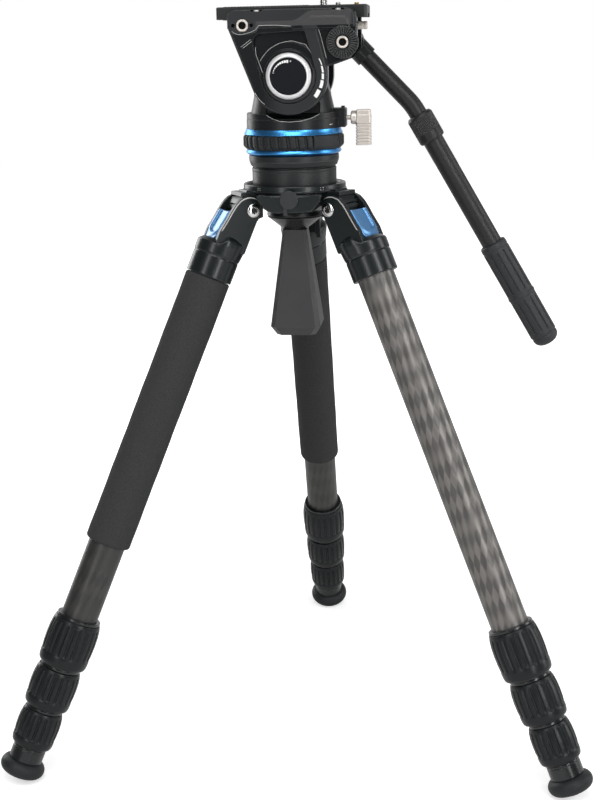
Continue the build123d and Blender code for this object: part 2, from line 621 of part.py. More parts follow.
def lock_ring_grip():
    """Rubber band of the lock ring."""
    inner, gap = RING_CORE_R + BOND_GAP, BOND_GAP
    return turned(
        (inner, BLUE_LOW_TOP + gap), (RUBBER_R - 1.6, BLUE_LOW_TOP + gap), (RUBBER_R, BLUE_LOW_TOP + 1.8),
        (RUBBER_R, RUBBER_TOP - 1.8), (RUBBER_R - 1.6, RUBBER_TOP - gap), (inner, RUBBER_TOP - gap),
    )


# ---- pan base ------------------------------------------------------------------------------------
def pan_base():
    """Turning base with the yoke that holds the tilt axle and the pan lock boss."""
    disc = turned(
        (0, PAN_LOW), (PAN_R - 0.8, PAN_LOW), (PAN_R, PAN_LOW + 0.8), (PAN_R, PAN_RIM - 1.0),
        (PAN_R - 1.0, PAN_RIM), (NECK_LOW_R, PAN_RIM), (NECK_LOW_R, NECK_WALL_TOP), (0, NECK_WALL_TOP),
    )
    neck = hull(
        Polygon(
            (-NECK_LOW_R, PAN_RIM - 1), (NECK_LOW_R, PAN_RIM - 1),
            (NECK_TOP_HALF, NECK_TOP), (-NECK_TOP_HALF, NECK_TOP),
        ),
        Pos(TILT_X, TILT_H) * Circle(YOKE_R),
    )
    cone = turned(
        (0, PAN_RIM - 2), (NECK_LOW_R, PAN_RIM - 2), (NECK_LOW_R, PAN_RIM), (NECK_TOP_HALF, NECK_TOP),
        (NECK_TOP_HALF, TILT_H + YOKE_R + 1), (0, TILT_H + YOKE_R + 1),
    )
    body = disc + (plate_y(neck, -YOKE_HALF_W, YOKE_HALF_W) & cone)
    wall = YOKE_HALF_W - 2.4
    pocket = outline(
        (wall, POCKET_TOP), (wall, POCKET_SILL), (YOKE_HALF_W, POCKET_FLOOR),
        (PAN_R + 1, POCKET_LIP), (PAN_R + 1, POCKET_TOP),
    )
    pocket = plate_x(pocket, POCKET_LEFT, POCKET_RIGHT)
    body -= [pocket, mirror(pocket, Plane.XZ)]
    boss = block(LOCK_BOSS_ROOT, LOCK_BOSS_END, -LOCK_BOSS_HALF_Y, LOCK_BOSS_HALF_Y, LOCK_BOSS_LOW, LOCK_BOSS_TOP)
    body += chamfer(boss.faces().sort_by(Axis.X)[-1].edges(), 1.0)
    body += Pos(LOCK_BOSS_END - 3, 0, 0) * rod(1.6, LOCK_BOSS_TOP - 1, LOCK_BOSS_TOP + 1.6)
    body -= rod(SPINDLE_R + RUN_FIT, PAN_LOW - 1, SPINDLE_TOP + AIR)
    body -= rod(SPINDLE_R + 6.5, PAN_LOW - 1, PAN_LOW + 0.2)
    body -= rod_y(DRUM_R + BOND_GAP, -YOKE_HALF_W - 1, YOKE_HALF_W + 1, TILT_X, TILT_H)
    body -= rod_x(LOCK_SHAFT_R + RUN_FIT, LOCK_SHAFT_IN, LOCK_BOSS_END + 1, 0, LOCK_AXIS)
    return body


def pan_lock_lever():
    """Pan lock: shaft, collar and ribbed finger lever."""
    shaft = rod_x(LOCK_SHAFT_R, LOCK_SHAFT_IN + 1, LEVER_X0 + 2, 0, LOCK_AXIS)
    collar = rod_x(LOCK_COLLAR_R, LOCK_COLLAR_X, LOCK_COLLAR_X + LOCK_COLLAR_LEN, 0, LOCK_AXIS)
    lever = block(LEVER_X0, LEVER_X1, -LEVER_HALF_Y, LEVER_HALF_Y, LEVER_LOW, LEVER_TOP)
    lever = fillet(lever.edges().filter_by(Axis.Z), 1.6)
    lever = chamfer(lever.faces().sort_by(Axis.Z)[-1].edges(), 1.2)
    groove = Box(LEVER_X1 - LEVER_X0 + 1, 0.9, 1.0)
    for i in range(LEVER_RIBS):
        z = LEVER_LOW + 1.8 + i * LEVER_RIB_PITCH
        for side in (-1, 1):
            lever -= Pos((LEVER_X0 + LEVER_X1) / 2, side * LEVER_HALF_Y, z) * groove
    return shaft + collar + lever


# ---- tilt cage -----------------------------------------------------------------------------------
def cheek_outline():
    """Side view of a cheek: top bar, sloping front edge, lobe round the axle, rosette arm."""
    lobe = Pos(TILT_X, TILT_H) * Circle(LOBE_R)
    back = TILT_X + LOBE_R
    bar = outline(
        (CHEEK_FRONT, CHEEK_HEEL), (CHEEK_FRONT, CHEEK_TOP), (back, CHEEK_TOP), (back, CHEEK_HEEL),
    )
    arm = outline(
        (back - 9, CHEEK_TOP), (CHEEK_BACK, CHEEK_TOP), (CHEEK_BACK, ROSETTE_H - 5.5),
        (CHEEK_BACK - 6.8, ROSETTE_H - ROSETTE_R - 0.5), (back + 0.5, ROSETTE_H - ROSETTE_R - 6.2),
        (back - 9, ROSETTE_H - ROSETTE_R - 8),
    )
    return rounded(hull(lobe, bar) + arm, [
        (CHEEK_FRONT, CHEEK_TOP, 7.0), (CHEEK_BACK, CHEEK_TOP, 7.0), (CHEEK_FRONT, CHEEK_HEEL, 4.0),
        (CHEEK_BACK, ROSETTE_H - 5.5, 3.0), (CHEEK_BACK - 6.8, ROSETTE_H - ROSETTE_R - 0.5, 5.0),
    ])


def cheek_recess():
    """Side view of the hollow round the dial."""
    corners = [Pos(x, BAR_LOW + rise) * Circle(radius) for x, rise, radius in RECESS_CORNERS]
    return hull(Pos(TILT_X, TILT_H) * Circle(RECESS_R), *corners)


def raised(sketch, level, edge):
    """Land on the front cheek's face, up to y = -level, with a bevelled rim."""
    land = plate_y(sketch, -level, -CHEEK_FACE + 0.5)
    return chamfer(land.faces().sort_by(Axis.Y)[0].edges(), edge)


def rosette():
    """Toothed disc that takes a handle clamp."""
    disc = rod_y(ROSETTE_R, -CHEEK_OUTER - ROSETTE_RISE, -CHEEK_FACE + 0.5, ROSETTE_X, ROSETTE_H)
    disc = chamfer(disc.faces().sort_by(Axis.Y)[0].edges(), 0.4)
    middle = (ROSETTE_R + INSERT_R + 1.0) / 2
    tooth = Pos(middle + 0.5, 0, 0) * Box(ROSETTE_R - INSERT_R - 1.0, 1.2, 0.9)
    face = Pos(ROSETTE_X, -CHEEK_OUTER - ROSETTE_RISE, ROSETTE_H)
    cuts = [face * Rot(Y=i * 360 / TEETH) * tooth for i in range(TEETH)]
    return disc - cuts


def cheek():
    """Front cheek, outer face towards -Y."""
    body = plate_y(cheek_outline(), -CHEEK_FACE, -CHEEK_INNER)
    body = chamfer(body.faces().sort_by(Axis.Y)[0].edges(), 0.9)
    back = SPINE_BACK
    spine = hull(
        Pos(TILT_X, TILT_H) * Circle(LOBE_R - 0.7),
        outline(
            (CHEEK_FRONT + 1.4, CHEEK_HEEL), (CHEEK_FRONT + 4, BAR_LOW + 3), (back, BAR_LOW + 3),
            (back, BAR_LOW),
        ),
    )
    body += raised(spine, CHEEK_FACE + 0.6, 0.5)
    end = CHEEK_BACK - 2
    bar = rounded(
        outline((CHEEK_FRONT, BAR_LOW), (CHEEK_FRONT, CHEEK_TOP), (end, CHEEK_TOP), (end, BAR_LOW)),
        [(CHEEK_FRONT, CHEEK_TOP, 7.0), (end, CHEEK_TOP, 8.0)],
    )
    ear = Pos(PORT_X, PORT_H) * SlotOverall(2 * (PORT_PIN_PITCH + PORT_PIN_R) + 5.6, 15.0)
    body += raised(bar + ear, CHEEK_OUTER, 0.6)
    facet = rounded(outline(
        (FACET_FRONT, BAR_LOW + 1.5), (FACET_FRONT + 17, BAR_LOW + 9), (CHEEK_BACK - 8, BAR_LOW + 8.5),
        (CHEEK_BACK - 5, BAR_LOW - 2), (FACET_FRONT + 1.5, BAR_LOW - 2),
    ), [(CHEEK_BACK - 8, BAR_LOW + 8.5, 4.0)])
    body += raised(facet, CHEEK_OUTER + 1.2, 1.1)
    recess = cheek_recess()
    floor = -CHEEK_OUTER + POCKET_DEPTH
    body -= plate_y(recess, -CHEEK_OUTER - 2, floor)
    boss = (Pos(TILT_X, TILT_H) * Circle(BOSS_R)) & recess
    boss = plate_y(boss, -CHEEK_OUTER + BOSS_DROP, floor + 0.5)
    body += chamfer(boss.faces().sort_by(Axis.Y)[0].edges(), 0.4)
    bezel = rod_y(DIAL_R + 3.6, -CHEEK_OUTER - 0.6, floor + 0.5, TILT_X, TILT_H)
    body += chamfer(bezel.faces().sort_by(Axis.Y)[0].edges(), 1.2)
    body -= rod_y(DIAL_R + AIR, -CHEEK_OUTER - 1, -CHEEK_OUTER + DIAL_SEAT_DEPTH, TILT_X, TILT_H)
    for offset in (-PORT_PIN_PITCH, PORT_PIN_PITCH):
        body -= rod_y(PORT_PIN_R, -CHEEK_OUTER - 2, -CHEEK_OUTER + 4, PORT_X + offset, PORT_H)
    body += rosette()
    for x, h in ((PORT_X, PORT_H), (ROSETTE_X, ROSETTE_H)):
        body -= rod_y(INSERT_R + BOND_GAP, -CHEEK_OUTER - 3, -CHEEK_INNER + 1, x, h)
    for x in EDGE_SCREW_X:
        body -= block(x - 5, x + 5, -CHEEK_OUTER - 1, -CHEEK_OUTER + 5, CHEEK_TOP - 1.8, CHEEK_TOP + 1)
    return body - rod_y(AXLE_R + RUN_FIT, -AXLE_END - AIR, -CHEEK_INNER + 1, TILT_X, TILT_H)


def front_cheek():
    """Cheek with the drag dial."""
    return cheek() - rod_y(DIAL_HUB_R + RUN_FIT, -CHEEK_OUTER - 1, -AXLE_END - AIR - 0.4, TILT_X, TILT_H)


def rear_cheek():
    """Cheek with the tilt lock, a mirror of the front one with a cover over the dial seat."""
    body = mirror(cheek(), Plane.XZ)
    body += rod_y(DIAL_R + 1, AXLE_END + AIR, CHEEK_OUTER, TILT_X, TILT_H)
    body += rod_y(TILT_LOCK_R + 5, CHEEK_INNER + 0.5, CHEEK_OUTER + 1.5, TILT_LOCK_X, TILT_LOCK_H)
    body -= rod_y(TILT_LOCK_R + RUN_FIT, CHEEK_INNER - 1, CHEEK_OUTER + 3, TILT_LOCK_X, TILT_LOCK_H)
    return body


def tilt_axle():
    """Drag cartridge in the yoke and the axle through it, as two solids."""
    drum = rod_y(DRUM_R, -YOKE_HALF_W, YOKE_HALF_W, TILT_X, TILT_H)
    drum -= rod_y(AXLE_R + BOND_GAP, -YOKE_HALF_W - 1, YOKE_HALF_W + 1, TILT_X, TILT_H)
    return [drum, rod_y(AXLE_R, -AXLE_END, AXLE_END, TILT_X, TILT_H)]


def thread_inserts():
    """Threaded metal inserts of the ports and of the handle rosettes."""
    made = []
    for side in (-1, 1):
        for x, h, rise in ((PORT_X, PORT_H, 0.9), (ROSETTE_X, ROSETTE_H, ROSETTE_RISE)):
            out = CHEEK_OUTER + (rise if side < 0 else 0)
            y0, y1 = sorted((side * out, side * (CHEEK_INNER + SEAM)))
            made.append(
                rod_y(INSERT_R, y0, y1, x, h) - rod_y(INSERT_BORE_R, y0 - 1, y1 + 1, x, h)
            )
    return made


def friction_dial():
    """Drag dial: bright ring with a black face, turning on a hub in the cheek."""
    out, seat = CHEEK_OUTER + DIAL_PROUD, CHEEK_OUTER - DIAL_SEAT_DEPTH + AIR
    ring = rod_y(DIAL_R, -out, -seat, TILT_X, TILT_H)
    ring = fillet(ring.edges().filter_by(GeomType.CIRCLE).sort_by(Axis.Y)[0], 1.6)
    ring -= rod_y(DIAL_FACE_R + BOND_GAP, -out - 1, -out + 2.0, TILT_X, TILT_H)
    ring += rod_y(DIAL_HUB_R, -seat - 0.5, -AXLE_END - AIR - 0.7, TILT_X, TILT_H)
    face = rod_y(DIAL_FACE_R, -out + 0.5, -out + 2.0 - SEAM, TILT_X, TILT_H)
    return [ring, face]


def tilt_lock_lever():
    """Tilt lock on the rear cheek: shaft, boss and short finger lever."""
    y0 = CHEEK_OUTER + 1.5 + AIR
    lever = rod_y(TILT_LOCK_R, CHEEK_INNER + 1, y0 + 2, TILT_LOCK_X, TILT_LOCK_H)
    lever += rod_y(6.2, y0, y0 + 9, TILT_LOCK_X, TILT_LOCK_H)
    arm = hull(Circle(4.6), Pos(-TILT_LEVER_LEN, 0) * Circle(3.4))
    return lever + Pos(TILT_LOCK_X, 0, TILT_LOCK_H) * Rot(Y=-35) * plate_y(arm, y0 + 3, y0 + 8)


# ---- plate ---------------------------------------------------------------------------------------
def plate_bed():
    """Bed between the cheeks with the rail that guides the plate."""
    half = CHEEK_INNER - SEAM
    bed = block(BED_FRONT, BED_BACK, -half, half, BED_LOW, BED_TOP)
    bed += block(BED_FRONT, BED_BACK, -BED_CORE_W / 2, BED_CORE_W / 2, BED_TOP - 1, BED_TOP + RAIL_H)
    front, back, half_w, deep = BED_RELIEF
    bed -= block(front, back, -half_w, half_w, BED_LOW - 1, BED_LOW + deep)
    bed -= rod_x(BUTTON_STEM_R + RUN_FIT, BED_BACK - BUTTON_STEM_LEN - 5, BED_BACK + 1, BUTTON_Y, BUTTON_H)
    return bed


def quick_release_plate():
    """Long sliding plate with its screw slot, and the two locating pins as separate solids."""
    plate = block(PLATE_FRONT, PLATE_BACK, -PLATE_HALF_W, PLATE_HALF_W, PLATE_LOW, PLATE_TOP)
    plate = chamfer(plate.edges().filter_by(Axis.Z), 2.0)
    plate = chamfer(plate.faces().sort_by(Axis.Z)[-1].edges(), 0.8)
    half, over_rail = PLATE_SLOT_W / 2, BED_TOP + RAIL_H + AIR
    plate -= block(PLATE_FRONT - 1, PLATE_BACK + 1, -half, half, PLATE_LOW - 1, over_rail)
    slot = SlotOverall(2 * (SCREW_SLOT_HALF + SCREW_R + AIR), 2 * (SCREW_R + AIR))
    well = SlotOverall(2 * (SCREW_SLOT_HALF + SCREW_HEAD_R + AIR), 2 * (SCREW_HEAD_R + AIR))
    plate -= Pos(SCREW_X, 0, PLATE_LOW) * extrude(slot, PLATE_TOP - PLATE_LOW + 1)
    plate -= Pos(SCREW_X, 0, PLATE_LOW - 1) * extrude(well, over_rail + AIR + SCREW_HEAD_H + 1 - PLATE_LOW)
    front = SlotOverall(FRONT_SLOT_LEN, 2 * (SCREW_R + AIR))
    plate -= Pos(FRONT_SLOT_X, 0, PLATE_LOW) * extrude(front, PLATE_TOP - PLATE_LOW + 1)
    pins = []
    for x, r, proud in ((PIN_X, PIN_R, PIN_PROUD), (STOP_X, STOP_R, STOP_PROUD)):
        hole = PLATE_TOP - 4
        plate -= Pos(x, 0, 0) * rod(r + BOND_GAP, hole - SEAM, PLATE_TOP + 1)
        pin = Pos(x, 0, 0) * rod(r, hole, PLATE_TOP + proud)
        pins.append(chamfer(pin.edges().filter_by(GeomType.CIRCLE).sort_by(Axis.Z)[-1], 0.5))
    return [plate, *pins]


def camera_screw():
    """Camera screw, head in the well of the plate."""
    low = BED_TOP + RAIL_H + AIR
    neck, thread, tip = low + SCREW_HEAD_H, PLATE_TOP + SCREW_THREAD_LOW, PLATE_TOP + SCREW_PROUD
    screw = turned(
        (0, low), (SCREW_HEAD_R, low), (SCREW_HEAD_R, neck), (SCREW_NECK_R, neck),
        (SCREW_NECK_R, thread), (SCREW_R, thread), (SCREW_R, tip - 0.6), (SCREW_R - 0.6, tip), (0, tip),
    )
    return Pos(SCREW_X, 0, 0) * screw


def plate_release_button():
    """Spring button at the back end of the bed that frees the plate."""
    head = rod_x(BUTTON_R, BUTTON_X0, BUTTON_X1, BUTTON_Y, BUTTON_H)
    head = chamfer(head.edges().filter_by(GeomType.CIRCLE).sort_by(Axis.X)[-1], 0.7)
    return head + rod_x(BUTTON_STEM_R, BED_BACK - BUTTON_STEM_LEN, BUTTON_X0 + 1, BUTTON_Y, BUTTON_H)


# ---- pan handle ----------------------------------------------------------------------------------
def below_bend(shape):
    """From a frame whose +Z runs down the lower straight, starting at the bend corner."""
    return Pos(BEND_X, HANDLE_Y, BEND_H) * Rot(Y=90 + LOWER_DROP) * shape


def above_bend(shape):
    """From a frame whose +Z runs up the upper straight, starting at the bend corner."""
    return Pos(BEND_X, HANDLE_Y, BEND_H) * Rot(Y=UPPER_DROP - 90) * shape


def bent_path():
    """Centre line of the upper tube: straight, bend, straight."""
    up = math.radians(180 - UPPER_DROP)
    down = math.radians(-LOWER_DROP)
    start = (BEND_X + UPPER_LEN * math.cos(up), HANDLE_Y, BEND_H + UPPER_LEN * math.sin(up))
    end = (BEND_X + UPPER_IN * math.cos(down), HANDLE_Y, BEND_H + UPPER_IN * math.sin(down))
    return FilletPolyline(start, (BEND_X, HANDLE_Y, BEND_H), end, radius=BEND_R)


def handle_upper_tube():
    """Bent tube from the clamp into the lower tube."""
    path = bent_path()
    ring = Circle(UPPER_TUBE_R) - Circle(UPPER_TUBE_R - UPPER_WALL)
    return sweep(Plane(origin=path @ 0, z_dir=path % 0) * ring, path)


def handle_clamp():
    """Clamp: rosette seat against the cheek and the socket that holds the tube."""
    face = CHEEK_OUTER + ROSETTE_RISE + AIR
    out = HANDLE_Y + CLAMP_SOCKET_R - 0.4
    eye = rod_y(ROSETTE_R, face, out, ROSETTE_X, ROSETTE_H)
    eye = chamfer(eye.edges().filter_by(GeomType.CIRCLE).sort_by(Axis.Y)[-1], 1.2)
    socket = above_bend(rod(CLAMP_SOCKET_R, SOCKET_FROM, SOCKET_TO))
    slice_y = Pos(BEND_X, (face + out) / 2, BEND_H) * Box(3 * SOCKET_TO, out - face, 3 * SOCKET_TO)
    body = eye + (socket & slice_y)
    body -= above_bend(rod(UPPER_TUBE_R + BOND_GAP, SOCKET_FROM - 1, UPPER_LEN + SEAM))
    return body - rod_y(CLAMP_BOLT_R + RUN_FIT, face - 1, out + 1, ROSETTE_X, ROSETTE_H)


def handle_clamp_knob():
    """Clamp bolt with its lobed knob."""
    seat = HANDLE_Y + CLAMP_SOCKET_R - 0.4 + AIR
    lobes = Circle(KNOB_R - 1.5)
    for i in range(6):
        lobes += Rot(Z=60 * i) * Pos(KNOB_R - 3, 0) * Circle(3.0)
    knob = plate_y(Pos(ROSETTE_X, ROSETTE_H) * lobes, seat, seat + KNOB_LEN)
    return knob + rod_y(CLAMP_BOLT_R, CHEEK_INNER + CLAMP_BOLT_TIP, seat + 1, ROSETTE_X, ROSETTE_H)


def handle_collar():
    """Knurled twist lock between the two handle tubes."""
    rim, low = COLLAR_FROM + 2.0, COLLAR_TO - 2.0
    inner, lower = UPPER_TUBE_R + RUN_FIT, LOWER_TUBE_R + AIR
    step = LOWER_FROM - AIR
    return below_bend(turned(
        (inner, COLLAR_FROM), (HANDLE_COLLAR_R - 1.4, COLLAR_FROM), (HANDLE_COLLAR_R, rim),
        (HANDLE_COLLAR_R, low), (HANDLE_COLLAR_R - 0.9, COLLAR_TO), (lower, COLLAR_TO), (lower, step),
        (inner, step),
    ))


def handle_lower_tube():
    """Tube that slides on the upper one."""
    bore = rod(UPPER_TUBE_R + RUN_FIT, LOWER_FROM - 1, LOWER_TO + 1)
    return below_bend(rod(LOWER_TUBE_R, LOWER_FROM, LOWER_TO) - bore)


def handle_grip():
    """Rubber hand grip with a rounded closed end."""
    r, end = HANDLE_GRIP_R, HANDLE_GRIP_TO
    bore = LOWER_TUBE_R + BOND_GAP
    return below_bend(turned(
        (bore, HANDLE_GRIP_FROM), (r - 0.8, HANDLE_GRIP_FROM), (r, HANDLE_GRIP_FROM + 0.8), (r, end - 9),
        (r - 1.2, end - 4), (r - 4.2, end - 1), (0, end), (0, LOWER_TO + SEAM), (bore, LOWER_TO + SEAM),
    ))


# ---- nodes ---------------------------------------------------------------------------------------
def leg_nodes(name):
    """All nodes of one leg."""
    nodes = {f"shoulder_{name}": [shoulder()], f"angle_tab_{name}": [angle_tab()], f"foot_{name}": [foot()]}
    for stage in range(len(TUBE_R)):
        nodes[f"tube_{stage + 1}_{name}"] = tube_node(stage)
    for stage in range(len(STAGE_TOP)):
        nodes[f"twist_collar_{stage + 1}_{name}"] = twist_collar(stage)
    if name in FOAM_LEGS:
        nodes[f"foam_grip_{name}"] = [foam_grip()]
    return {node: [on_leg(name, solid) for solid in solids] for node, solids in nodes.items()}


HEAD_PARTS = (
    spider, port_plug, bowl_liner, half_ball, clamp_cone, levelling_handle, base_flange, lock_ring,
    lock_ring_grip, pan_base, pan_lock_lever, tilt_axle, front_cheek, rear_cheek, thread_inserts,
    plate_bed, friction_dial, tilt_lock_lever, quick_release_plate, camera_screw, plate_release_button,
    handle_clamp, handle_clamp_knob, handle_upper_tube, handle_collar, handle_lower_tube, handle_grip,
)


def all_nodes():
    """Every node of the tripod, as lists of solids in place."""
    nodes = {"leg_pivot_bolts": [on_leg(name, pivot_bolt()) for name in LEG_AZIMUTH]}
    for name in LEG_AZIMUTH:
        nodes.update(leg_nodes(name))
    for make in HEAD_PARTS:
        made = make()
        nodes[make.__name__] = [lift(s) for s in (made if isinstance(made, list) else [made])]
    return nodes


def main():
    os.makedirs("parts", exist_ok=True)
    for node, solids in all_nodes().items():
        shape = solids[0] if len(solids) == 1 else Compound(children=solids)
        export_step(shape, f"parts/{node}.step")


if __name__ == "__main__":
    main()
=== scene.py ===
"""Video tripod with a fluid head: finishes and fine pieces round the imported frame.

Pieces are surfaces on a grid of points, in millimetres in a local seat, set into place in metres by the
seat's matrix. A seat is the leg's own axis, the head above the leg hinges, or a straight of the pan handle.
"""
import json
import math

import bmesh
import bpy
import numpy as np
from mathutils import Matrix


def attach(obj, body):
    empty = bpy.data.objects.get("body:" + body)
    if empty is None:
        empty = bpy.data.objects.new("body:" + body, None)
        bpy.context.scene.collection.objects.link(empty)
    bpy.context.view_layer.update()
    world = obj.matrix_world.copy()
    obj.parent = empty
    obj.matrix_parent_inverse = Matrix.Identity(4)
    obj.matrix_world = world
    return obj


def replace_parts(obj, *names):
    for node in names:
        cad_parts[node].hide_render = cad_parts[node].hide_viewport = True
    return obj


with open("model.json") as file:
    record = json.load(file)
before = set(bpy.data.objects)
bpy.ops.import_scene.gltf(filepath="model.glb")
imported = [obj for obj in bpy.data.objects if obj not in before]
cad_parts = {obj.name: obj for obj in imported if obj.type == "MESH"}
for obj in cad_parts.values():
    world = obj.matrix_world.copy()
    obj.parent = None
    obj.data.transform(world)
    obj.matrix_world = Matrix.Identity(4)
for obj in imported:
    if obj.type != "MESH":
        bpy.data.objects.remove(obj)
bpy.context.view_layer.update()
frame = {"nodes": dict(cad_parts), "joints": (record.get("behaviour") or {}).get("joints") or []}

NODES = frame["nodes"]
JOINTS = {j["name"]: j for j in frame["joints"]}
MM = 0.001
TURN = 2 * np.pi
LEGS = ("left", "right", "rear")
LEG_AZIMUTH = {"left": 210, "right": -30, "rear": 90.0}

# ---- leg sizes, down the tube's axis from the level of its pivot ----
TUBE_R = (16, 14, 12.5, 11)
TUBE_WALL = 1.3
TUBE_TOP = (42, 70, 76, 82)
LOCK_TOP = (381, 426.5, 465.8)
LOCK_LOW = (426.5, 465.8, 502.5)
SLEEVE_LEN = (20, 17, 16)
LOCK_R = (22, 20.5, 18.75)
LIP = 4.6
BARE_RING = 3.0
STUB_R, STUB_LOW, STUB_END = 14.5, 502.8, 515.4
FOAM_R, FOAM_TOP, FOAM_END = 19.6, 66.2, 312.0
EAR_IN, EAR_OUT = 12.4, 17.0
EAR_EDGE = (
    (-16.8, -38), (-17, -5), (-15.9, 3.2), (-13, 8), (-9.2, 10.6), (-4.6, 10.6), (0.2, 8.4), (4, 4.6), (6.6, -1.5),
    (8, -8), (9.2, -16), (11.4, -26.5), (11.4, -38),
)
TAB_SPAN = (7.6, 35.3)
PIVOT_IN = 10.5         # from the pivot to the tube's axis
COLLET = 2.06           # from a tube to the bore of its lock
SHELL_WALL = 1.5        # of a lock's metal shell
GAP = 0.3               # round a tube that slides, and over a lock
WELD = 2e-7             # metres within which points are one
HOOP = (True, True)     # a grid whose columns and rows both come round
TWIST_AT = LOCK_TOP[0] + 20.0

# ---- head sizes, above the pivots ----
TILT_X, TILT_H = 1, 111.0
CHEEK_OUT, CHEEK_SPINE, CHEEK_TOP = 38.4, 37.8, 165.0
PLATE_TOP = 167.6
LOCK_AXIS = 74.6        # height of the pan lock's shaft
PORT = (-36.5, 152.4)   # x and height of the threaded ports
ROSETTE = (46, 137.5)   # x and height of the rosettes
THREAD_PITCH = 1.27     # of the camera screw and the inserts
PAD_AT = -43.0          # azimuth of the lock ring's plain pad

# polylines of painted highlight along the cheek's machined edges: y of the face, then (x, height)
PAINTED_EDGE_HIGHLIGHTS = {
    "bar": (-38.6, [(-45, 148), (-43.8, 146.6), (-40.9, 145.5), (-37, 145.2), (-32.6, 146), (-28.4, 147.4),
                    (-25.5, 148.8), (-24.2, 150.3), (-22.9, 151.9)]),
    "bar_foot": (-38.5, [(-22.9, 152.1), (-9.3, 152.1), (5.6, 150.9), (26.1, 150.2), (48.2, 149.5)]),
    "notch_1": (-38.1, [(-38.2, 135.1), (-34, 138.1), (-29.9, 141)]),
    "notch_2": (-38.1, [(-36.5, 134.2), (-32.7, 137), (-29, 139.7)]),
    "recess": (-37.9, [(-26, 135), (-26, 132.6), (-25.8, 129.4), (-24.2, 124.5), (-21.7, 117.2), (-19.1, 109.9)]),
    "boss": (-36.4, [(-22.7, 123.4), (-21, 126.1), (-18.4, 129.4), (-14.6, 133.2), (-9.9, 135.9), (-5.7, 137.8),
                     (-1.5, 138.7), (4, 139.3), (7.6, 138.5), (10.8, 137.4), (15.3, 136.3)]),
    "boss_side": (-36.4, [(15.3, 136.3), (17.8, 132.5), (20.2, 128.8), (22.7, 124.5)]),
    "lobe": (-38, [(-27.4, 97.6), (-25.4, 94.2), (-22.6, 90.9), (-19.6, 88.5)]),
    "strut": (-38, [(26, 149.7), (27.9, 143.7), (29.6, 137), (31.2, 130.4), (32.5, 125)]),
}
# sill of the pocket in the pan base's front: azimuth, height
SILL = ((-118.7, 79.6), (-110.6, 76.6), (-101, 74.5), (-88.9, 73.7), (-76, 74.2), (-60.4, 76.6), (-49.9, 79.6))


# ---- seats ----
def unit(v):
    """The direction of v, one long."""
    v = np.asarray(v, float)
    return v / np.linalg.norm(v)


def seat(origin, x, y, z):
    """4 x 4 matrix from millimetres along x, y, z to metres in the row frame."""
    m = np.eye(4)
    m[:3, 0], m[:3, 1], m[:3, 2] = (np.asarray(a) * MM for a in (x, y, z))
    m[:3, 3] = origin
    return m


def leg_seat(name):
    """A leg's seat: x outward, y sideways, z up the tube, origin on its axis level with the pivot."""
    down = unit(JOINTS[f"section_slide_2_{name}"]["axis"])
    side = -unit(JOINTS[f"leg_spread_{name}"]["axis"])
    on_axis = np.array(JOINTS[f"twist_lock_turn_1_{name}"]["pos_m"])
    return seat(on_axis - down * TWIST_AT * MM, np.cross(side, -down), side, -down)


HINGE_Z = JOINTS["leg_spread_rear"]["pos_m"][2]
LEG_SEAT = {name: leg_seat(name) for name in LEGS}


def facing(x, y, h, axes):
    """Seat on a face of the head: its origin in millimetres above the pivots, and its three axes."""
    return seat(np.array([x, y, h]) * MM + [0, 0, HINGE_Z], *axes)


FRONT = ((1, 0, 0), (0, 0, 1), (0, -1, 0))      # axes to the right, up the face and out of it
BACK = ((-1, 0, 0), (0, 0, 1), (0, 1, 0))
RIGHT = ((0, 1, 0), (0, 0, 1), (1, 0, 0))
UP = ((1, 0, 0), (0, 1, 0), (0, 0, 1))
HEAD = facing(0, 0, 0, UP)


def about(azimuth):
    """Outward and sideways directions at an azimuth in degrees."""
    a = math.radians(azimuth)
    return np.array([math.cos(a), math.sin(a), 0]), np.array([-math.sin(a), math.cos(a), 0])


def on_wall(azimuth, radius, h):
    """Seat on a wall round the head's axis: z out of the wall, y up."""
    out, across = about(azimuth)
    return seat(out * radius * MM + [0, 0, HINGE_Z + h * MM], across, (0, 0, 1), out)


def handle_seat():
    """Seat of the pan handle's lower straight: z down the tube, origin at the extension joint's mark."""
    down = unit(JOINTS["handle_extend"]["axis"])
    across = (0, 1, 0)
    return seat(JOINTS["handle_lock_turn"]["pos_m"], np.cross(across, down), across, down)


